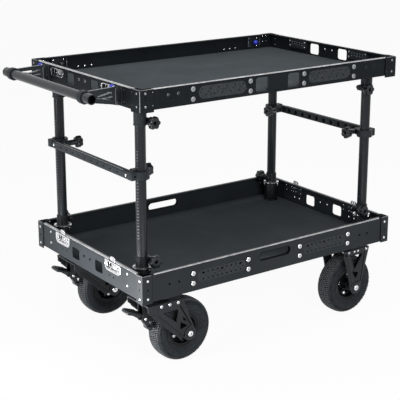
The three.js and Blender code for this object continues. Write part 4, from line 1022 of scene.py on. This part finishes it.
def tyre(node, x, y):
    """Carcass with ringed sidewalls, and staggered rows of low tread blocks."""
    half = [(55.3, 22.5), (59.3, 22.6), (59.8, 26.0), (62, 27.6), (66.5, 28.4), (69.2, 29.2), (70.6, 31.4),
            (71.6, 34.2), (73.4, 36.2), (75.6, 36.9), (77.4, 36.1), (78.6, 36.3), (80.4, 37.6), (84.5, 39),
            (85.4, 39.7), (86.6, 39.6), (87.4, 39.1), (91.5, 39.5), (92.3, 39.9), (93.5, 39.9), (94.3, 39.4),
            (97.6, 39.1), (98.4, 39.6), (99.8, 39.2), (100.4, 38.4), (104, 37.2), (108.4, 35.0), (112, 31.8),
            (114.8, 28), (117.2, 22.4), (119.4, 12), (120.0, 0)]
    geo = lathe(mirrored(half), 144, True)
    count = 84
    w = TAU / count * 0.34
    for k in range(count):
        for row, (z0, z1, skew) in enumerate(((1.2, 11.4, 0.010), (13.2, 21.6, 0.014), (23.4, 29.5, 0.010))):
            for way in SIDES:
                mid = TAU * (k + (0.5 if (row + (way > 0)) % 2 else 0)) / count
                foot, top = [], []
                for z, a in ((z0, -w - skew), (z1, -w + skew), (z1, w + skew), (z0, w - skew)):
                    r = 122.3 - (z / 40) ** 4 * 17.5
                    foot.append(polar(r - 4.5, mid + a, way * z))
                    top.append(polar(r, mid + a * 0.93, way * (z + ((z0 + z1) / 2 - z) * 0.08)))
                geo.add(loft([foot, top]))
    for k in range(72):
        turn = spun(TAU * k / 72)
        for way in SIDES:
            geo.add(brick(-1.0, 1.0, -1.4, 1.4, 0, 9 if k % 2 else 6, 0.4, 0.3), turn @ on_x(1, 101.5, 0, way * 36.6))
            if k % 3 == 0:
                geo.add(rivet(0.9, 0.7, 8), turn @ to("+z" if way > 0 else "-z", 95.8, 0, way * 39.2))
    floor = mirrored([(114.6, 29.4), (115.3, 28.2), (117.5, 22.6), (119.7, 12.1), (120.3, 0)])
    wheel = to("+y", x, y, AXLE_Z)
    # black band under the tread blocks: painted shade between them
    heap(node, VOID, lathe((floor + [(112.5, -28), (112.5, 28)])[::-1], 120, True), wheel)
    sipe = loft([[(u, v, w) for u, v in ((-3.6, -0.9), (3.6, -0.9), (3.6, 0.9), (-3.6, 0.9))] for w in (-0.6, 0.55)])
    for way in SIDES:
        side = to(y_axis(way), x, y, AXLE_Z)
        # black rings in the sidewall's steps: painted shade in the creases
        for r, z in ((78.0, 36.4), (84.6, 39.1), (92.0, 39.75), (100.3, 38.55)):
            line = [(r - 0.5, z - 0.6), (r + 0.5, z - 0.6), (r + 0.5, z + 0.1), (r - 0.5, z + 0.1)]
            heap(node, VOID, lathe(line, 96, True), side)
        # black sipes on the shoulder: painted shade in the cuts
        for k in range(count):
            heap(node, VOID, sipe, side @ spun(TAU * (k + 0.25) / count) @ move(106.2, 0, 36.1) @ spun(0.46, "Y"))
    make(f"{node}_rubber", Geo().add(geo, wheel), RUBBER, node, True, 30)


def rim(node, x, y, phase):
    """Split rim: deep barrel with a thin lip, four broad arms with through bolts, and a long hub."""
    half = [(8.6, 40), (14, 40), (20.5, 39), (22, 37), (22, 13), (24, 6), (30, 3.6), (44, 3.4), (49, 5), (52.5, 9),
            (54.2, 15), (55.0, 21.5), (56.4, 26.4), (58.4, 29.6), (62, 30.2), (65.4, 30.4), (67.6, 31.6), (68.8, 31.8),
            (69.3, 30.9), (68.4, 29.7), (65.8, 28.9), (62, 28.4), (59.2, 27.2), (57.2, 24.4), (55.4, 21.4)]
    geo = lathe([(r, -z) for r, z in half] + half[::-1], 96, True)
    arm = plate(soften([(20, -10), (34, -11.5), (53, -15.5), (53, 15.5), (34, 11.5), (20, 10)], 3), 7.2, (), 1.6, 3)
    pocket = soften([(26, -9), (46, -19), (49, -9), (50, 0), (49, 9), (46, 19), (26, 9), (24.5, 0)], 3)
    m = to("+y", x, y, AXLE_Z)
    for way in SIDES:
        flip = TURN["+z" if way > 0 else "-z"]
        for k in range(4):
            turn, between = (flip @ spun(-way * (phase + TAU * q / 4)) for q in (k, k + 0.5))
            geo.add(arm, turn @ move(0, 0, 3))
            geo.add(tube(10.2, 8.6, 12.4, 0, 1.2, 24), turn @ move(41, 0, 0))
            heap(node, ZINC, dome_bolt(7.6, 4.2, 2.4, 24), m @ turn @ move(41, 0, 12.3))
            # black pit in each bolt's socket and black pockets between the arms: painted shade
            heap(node, VOID, pit(2.3, 0.3), m @ turn @ move(41, 0, 14.6))
            heap(node, VOID, inlay(pocket), m @ between @ move(0, 0, 3.9))
        for z, r in ((31.3, 69.2), (27.6, 57.5)):
            line = [(r - 0.7, z), (r, z + 0.1), (r, z + 1.0), (r - 0.7, z + 0.9)]
            heap(node, STEEL, lathe(line, 96, True), m @ flip)
    make(f"{node}_gloss", Geo().add(geo, m), GLOSS, node)
    valve = lathe([(0, 0), (4.2, 0), (3.6, 6), (2.6, 7), (2.6, 16), (3.2, 16.4), (3.2, 22), (2.4, 23), (0, 23)], 16)
    heap(node, STEEL, valve, m @ TURN["-z"] @ spun(phase + 0.88) @ move(48.5, 0, 8) @ spun(-0.25, "Y"))


# The two kinds of fork. Points are x and z from the caster's upright axis.
SWIVEL = SimpleNamespace(
    front=-89, back=64, top=269.2, axle=95, bolts=(-31, 5.5, 42), bolt_r=6.6, bolt_drop=11, lead_width=9.5,
    cuts=[[(-20, 229), (44.5, 231), (35, 181)], [(53, 177), (84, 157), (52.5, 148.5)],
          [(63, 199), (82, 174.5), (66, 182)]],
    shadow_line=[(51, 243), (76, 198), (101, 153), (92, 151), (80, 144), (71, 131), (68.5, 118)],
    ridge=[(-46, 226), (0, 182), (46, 138), (68, 117)],
    lead=[(-70, 231), (-20, 183.5), (30, 136), (58, 109.5)])
FIXED = SimpleNamespace(
    front=-68, back=68, top=291.2, axle=0, bolts=(-44, -14, 5, 52), bolt_r=5.2, bolt_drop=9, lead_width=7,
    cuts=[[(-33, 266), (34, 266), (-9, 204)], [(-21, 197), (13, 187), (-2, 162)]],
    shadow_line=[(42, 273), (35, 209), (25, 147), (4, 149), (-15, 143), (-22, 128)],
    ridge=[(-52, 262), (-38, 200), (-27, 150), (-23, 128)],
    lead=[(-59, 268), (-44, 200), (-33, 148), (-27, 118)])
EYE_X, EYE_Z = -64, 200.5  # pivot of the brake pedal


def fork(node, cx, cy, kind):
    """Two cut-out side plates under a crown; a swivel fork has its race and the lugs of the pedal too."""
    base = move(cx, cy)
    front, back, top, axle = kind.front, kind.back, kind.top, kind.axle
    outline = belt([(axle, AXLE_Z, 27), (back - 5, top - 5, 5), (front + 5, top - 5, 5), (front + 10, top - 20, 10)], 8)
    lips = [wound(soften(cut, 3.2, 5)) for cut in kind.cuts]
    boss = lathe([(0, 71), (24, 71), (24, 72.6), (22.6, 73.6), (17.5, 73.8), (16.5, 72.8), (14.5, 72.8), (14, 73.8),
                  (0, 73.8)], 48)
    slot = inlay(ribbon([(3.4, 0), (8.6, 0)], 1.5), 0.6)
    geo = Geo()
    for way in SIDES:
        geo.add(slab(outline, way * 66, way * 72, lips, 1.3, 3))
        geo.add(slab(ribbon(kind.lead, kind.lead_width), way * 71.8, way * 73.2))
        # black on the plates: the shadow_line strip paints the shadow of the gap at the plate's edge, the ridge is a
        # thin black line, and black linings paint the shade inside the cut-outs
        dark = [slab(ribbon(kind.shadow_line, 4.4), way * 71.7, way * 72.25, (), 0.1, 1),
                slab(ribbon(kind.ridge, 1.5), way * 71.7, way * 72.2, (), 0.1, 1)]
        dark += [slab(inset(lip, 0.1), way * 57, way * 70.6, (inset(lip, 1.3),), 0.2, 1) for lip in lips]
        for shape in dark:
            heap(node, VOID, shape, base)
        for lip in lips[:2]:
            geo.add(slab(inset(lip, -4.2), way * 71.8, way * 72.9, (inset(lip, -1.2),), 0.3))
        spin = to(y_axis(way), axle, 0, AXLE_Z)
        geo.add(boss, spin)
        geo.add(tube(14, 40.6, 67, 8.2, 0.5, 32), spin)
        hub = base @ spin
        heap(node, STEEL, washer(13.4, 6, 1.6), hub @ move(0, 0, 73.6))
        heap(node, ZINC, dome_bolt(11.4, 5.6, 3.0, 30), hub @ move(0, 0, 74.6))
        # black slots and pit on the hub screw, and pits on the plate screws: painted shade in their recesses
        for k in range(3):
            heap(node, VOID, slot, hub @ move(0, 0, 79.0) @ spun(TAU * k / 3 + 0.5))
        heap(node, VOID, pit(2.9, 0.2), hub @ move(0, 0, 78))
        for dx in kind.bolts:
            spot = base @ to(y_axis(way), dx, way * 72, top - kind.bolt_drop)
            heap(node, ZINC, dome_bolt(kind.bolt_r, 3.0, 2.0, 22), spot)
            heap(node, VOID, pit(1.9, 0.3), spot @ move(0, 0, 1.6))
    crown = soften([(front + 1, -71), (back - 1, -71), (back - 1, 71), (front + 1, 71)], 6)
    geo.add(plate(crown, 6, [circle(8.6, 40)] if kind is SWIVEL else (), 1.2), move(0, 0, top - 6))
    geo.add(tube(8, -70, 70, 0, 0.4, 28), to("+y", axle, 0, AXLE_Z))
    if kind is SWIVEL:
        geo.add(lathe([(8.4, top - 1), (40, top - 1), (42, top + 1), (42, top + 6.6), (40.6, top + 8), (8.4, top + 8)],
                      56, True))
        cheek = belt([(EYE_X, EYE_Z, 16), (-24, 196, 12), (-2, 256, 6), (-69, 255, 7)], 8)
        for way in SIDES:
            geo.add(slab(cheek, way * 12.7, way * 17.6, (), 0.9))
            geo.add(brick(-74, -8, way * 12.7, way * 60, 252, 263.5, 4, 1.2))
            geo.add(slab(ribbon([(-60, 214), (-20, 212), (-10, 240)], 5), way * 17.5, way * 19.1))
            heap(node, ZINC, dome_bolt(6.8, 3.2, 2.2), base @ to(y_axis(way), EYE_X, way * 17.6, EYE_Z))
        geo.add(tube(4, -18, 18, 0, 0.3, 18), to("+y", EYE_X, 0, EYE_Z))
    else:
        geo.add(brick(-62, 62, -62, 62, top - 0.5, top + 6, 10, 0.9))
        flange_bolts(node, cx, cy, top - 6.1, 47.04)
    # fork plates in the lighter paint, which paints their light
    make(f"{node}_plates", Geo().add(geo, base), LIT_FORK_PAINT, node)


def pedal(node, cx, cy):
    """Brake lever with a ribbed toe at one end and a grooved roller over the tread at the other."""
    base = move(cx, cy)
    hole = circle(4.4, 20, EYE_X, EYE_Z)
    geo = Geo()
    for circles, n, half, holes, bevel in (
            ([(EYE_X, EYE_Z, 12), (-122, 236, 7)], 8, 12, [hole], 1.6),
            ([(EYE_X, EYE_Z, 11), (-44, 158, 8)], 8, 12, [hole], 1.6),
            ([(-136, 240.5, 7.5), (-92, 223.5, 6.5)], 10, 22, (), 2.6),
            ([(-96, 224, 8.5), (-86, 218.5, 9)], 8, 15.5, (), 2.0)):
        geo.add(slab(belt(circles, n), -half, half, holes, bevel, 3))
    along = Vector((44, 0, -17)).normalized()
    up = Vector((-along.z, 0, along.x))
    for k in range(7):
        p = Vector((-134, 0, 240.5)) + along * (k * 6.2) + up * 7.0
        geo.add(plate(round_rect(0, 0, 2.8, 38, 1.3, 3), 1.6), laid(along, (0, 1, 0), up, p))
    pocket = soften([(-116, 227.5), (-98, 220), (-80, 209), (-84, 203.5), (-101, 214), (-117, 223.5)], 3)
    for way in SIDES:
        geo.add(slab(ribbon([(-128, 238), (-108, 230.5), (-97, 226.5)], 4.0), way * 21.8, way * 23.0, (), 0.4))
        # black patch on each side: painted shade of a pocket
        heap(node, VOID, slab(pocket, way * 11.9, way * 12.3, (), 0.1, 1), base)
        heap(node, ZINC, dome_bolt(3.4, 1.6, 1.2), base @ to(y_axis(way), -90, way * 15.5, 220.5))
    roller = tube(8, -20, 20, 0, 1.0, 32)
    for k in range(9):
        roller.add(tube(8.6, -18 + k * 4.2, -16 + k * 4.2, 0, 0.4, 32))
    geo.add(roller, to("+y", -44, 0, 158))
    make(f"{node}_cast", Geo().add(geo, base), PLASTIC, node)


def casters():
    """Swivel casters with brakes at the handle's end and fixed casters at the other; phase turns a rim's arms."""
    for rn, sy, left_phase, right_phase in (("front", -1, 3.752, 2.906), ("rear", 1, 3.237, 3.4)):
        for en, cx, cy, kind, phase in (("left", -CASTER_X, sy * LEFT_Y, SWIVEL, left_phase),
                                        ("right", CASTER_X, sy * RIGHT_Y, FIXED, right_phase)):
            fork(f"{rn}_{en}_fork", cx, cy, kind)
            if kind is SWIVEL:
                pedal(f"{rn}_{en}_brake_pedal", cx, cy)
            rim(f"{rn}_{en}_rim", cx + kind.axle, cy, phase)
            tyre(f"{rn}_{en}_tyre", cx + kind.axle, cy)


# ---------------------------------------------------------------- build
for level in LEVELS:
    for name, sign in ROWS:
        side_wall(level, name, sign)
    for name, sign in ENDS:
        end_wall(level, name, sign)
        for row, sy in ROWS:
            latch_wing(level, name, sign, row, sy)
decks()
mats()
posts()
crossbars()
push_handle()
receivers()
casters()
for (body, finish), (node, mat, geo) in heaps.items():
    make(f"{body}_{finish.replace('_finish', '')}_fittings", geo, mat, node, False)


# ---------------------------------------------------------------- stage, lamps, camera
def by_sight(tree, output, plain, direct, share):
    """Shows one shader by its share where a camera, glossy or transmitted ray looks, and else the plain one."""
    path = shader(tree, "LightPath").outputs
    sight = math_node(tree, "MAXIMUM", path["Is Camera Ray"], path["Is Glossy Ray"])
    sight = math_node(tree, "MAXIMUM", sight, path["Is Transmission Ray"])
    mix = shader(tree, "MixShader")
    sources = (math_node(tree, "MULTIPLY", sight, share), plain.outputs[0], direct.outputs[0])
    for source, socket in zip(sources, mix.inputs):
        tree.links.new(source, socket)
    tree.links.new(mix.outputs["Shader"], shader(tree, output).inputs["Surface"])


def stage():
    """White floor just under the wheels, which the camera sees as almost pure white."""
    mesh = bpy.data.meshes.new("floor")
    s, z = 14, -0.0006
    mesh.from_pydata([(-s, -s, z), (s, -s, z), (s, s, z), (-s, s, z)], [], [(0, 1, 2, 3)])
    floor = bpy.data.objects.new("floor", mesh)
    bpy.context.scene.collection.objects.link(floor)
    mat = bpy.data.materials.new("floor_white")
    mat.use_nodes = True
    tree = mat.node_tree
    tree.nodes.clear()
    by_sight(tree, "OutputMaterial", shader(tree, "BsdfDiffuse", Color=(0.8, 0.8, 0.8, 1)),
             shader(tree, "Emission", Strength=1.0), 0.95)
    mesh.materials.append(mat)


def world():
    """White backdrop for the camera, dim cool light for everything else."""
    studio = bpy.data.worlds.new("studio")
    bpy.context.scene.world = studio
    studio.use_nodes = True
    tree = studio.node_tree
    tree.nodes.clear()
    by_sight(tree, "OutputWorld", shader(tree, "Background", Color=(0.93, 0.96, 1, 1), Strength=0.2),
             shader(tree, "Background", Color=(1, 1, 1, 1), Strength=1.0), 1.0)


def lamp(name, place, target, size, power, spread=180):
    data = bpy.data.lights.new(name, "AREA")
    data.shape = "RECTANGLE"
    data.size, data.size_y = size
    data.energy = power
    data.spread = math.radians(spread)
    obj = bpy.data.objects.new(name, data)
    obj.location = place
    obj.rotation_euler = (Vector(target) - Vector(place)).to_track_quat("-Z", "Y").to_euler()
    obj.visible_camera = False
    bpy.context.scene.collection.objects.link(obj)


stage()
world()
lamp("top", (-0.5, -0.5, 3.7), (0, 0, 0.6), (3.0, 2.4), 57)
lamp("low_left", (-1.12, -0.12, 0.06), (-0.55, -0.22, 0.36), (0.8, 0.12), 7.4, spread=100)
lamp("low_front", (-0.55, -1.5, 0.07), (-0.5, -0.39, 0.36), (1.2, 0.12), 2.0)
lamp("side_left", (-3.3, 0.1, 1.1), (0, 0, 0.8), (0.28, 1.8), 32)
lamp("front_high", (-0.8, -3.2, 2.0), (0, 0, 0.33), (1.6, 0.8), 66)

FOCAL_PIXELS, PICTURE_PIXELS, SENSOR = 1082.99, 400, 36
DOWN, AROUND = 0.2609, -0.6203
camera = bpy.data.cameras.new("camera")
camera.sensor_width = SENSOR
camera.lens = FOCAL_PIXELS / PICTURE_PIXELS * SENSOR
camera.shift_y = -0.10
camera_object = bpy.data.objects.new("camera", camera)
camera_object.location = (-2.4116, -3.3882, 1.7811)
camera_object.rotation_euler = (math.pi / 2 - DOWN, 0, AROUND)
bpy.context.scene.collection.objects.link(camera_object)
bpy.context.scene.camera = camera_object
bpy.context.scene.view_settings.view_transform = "Standard"
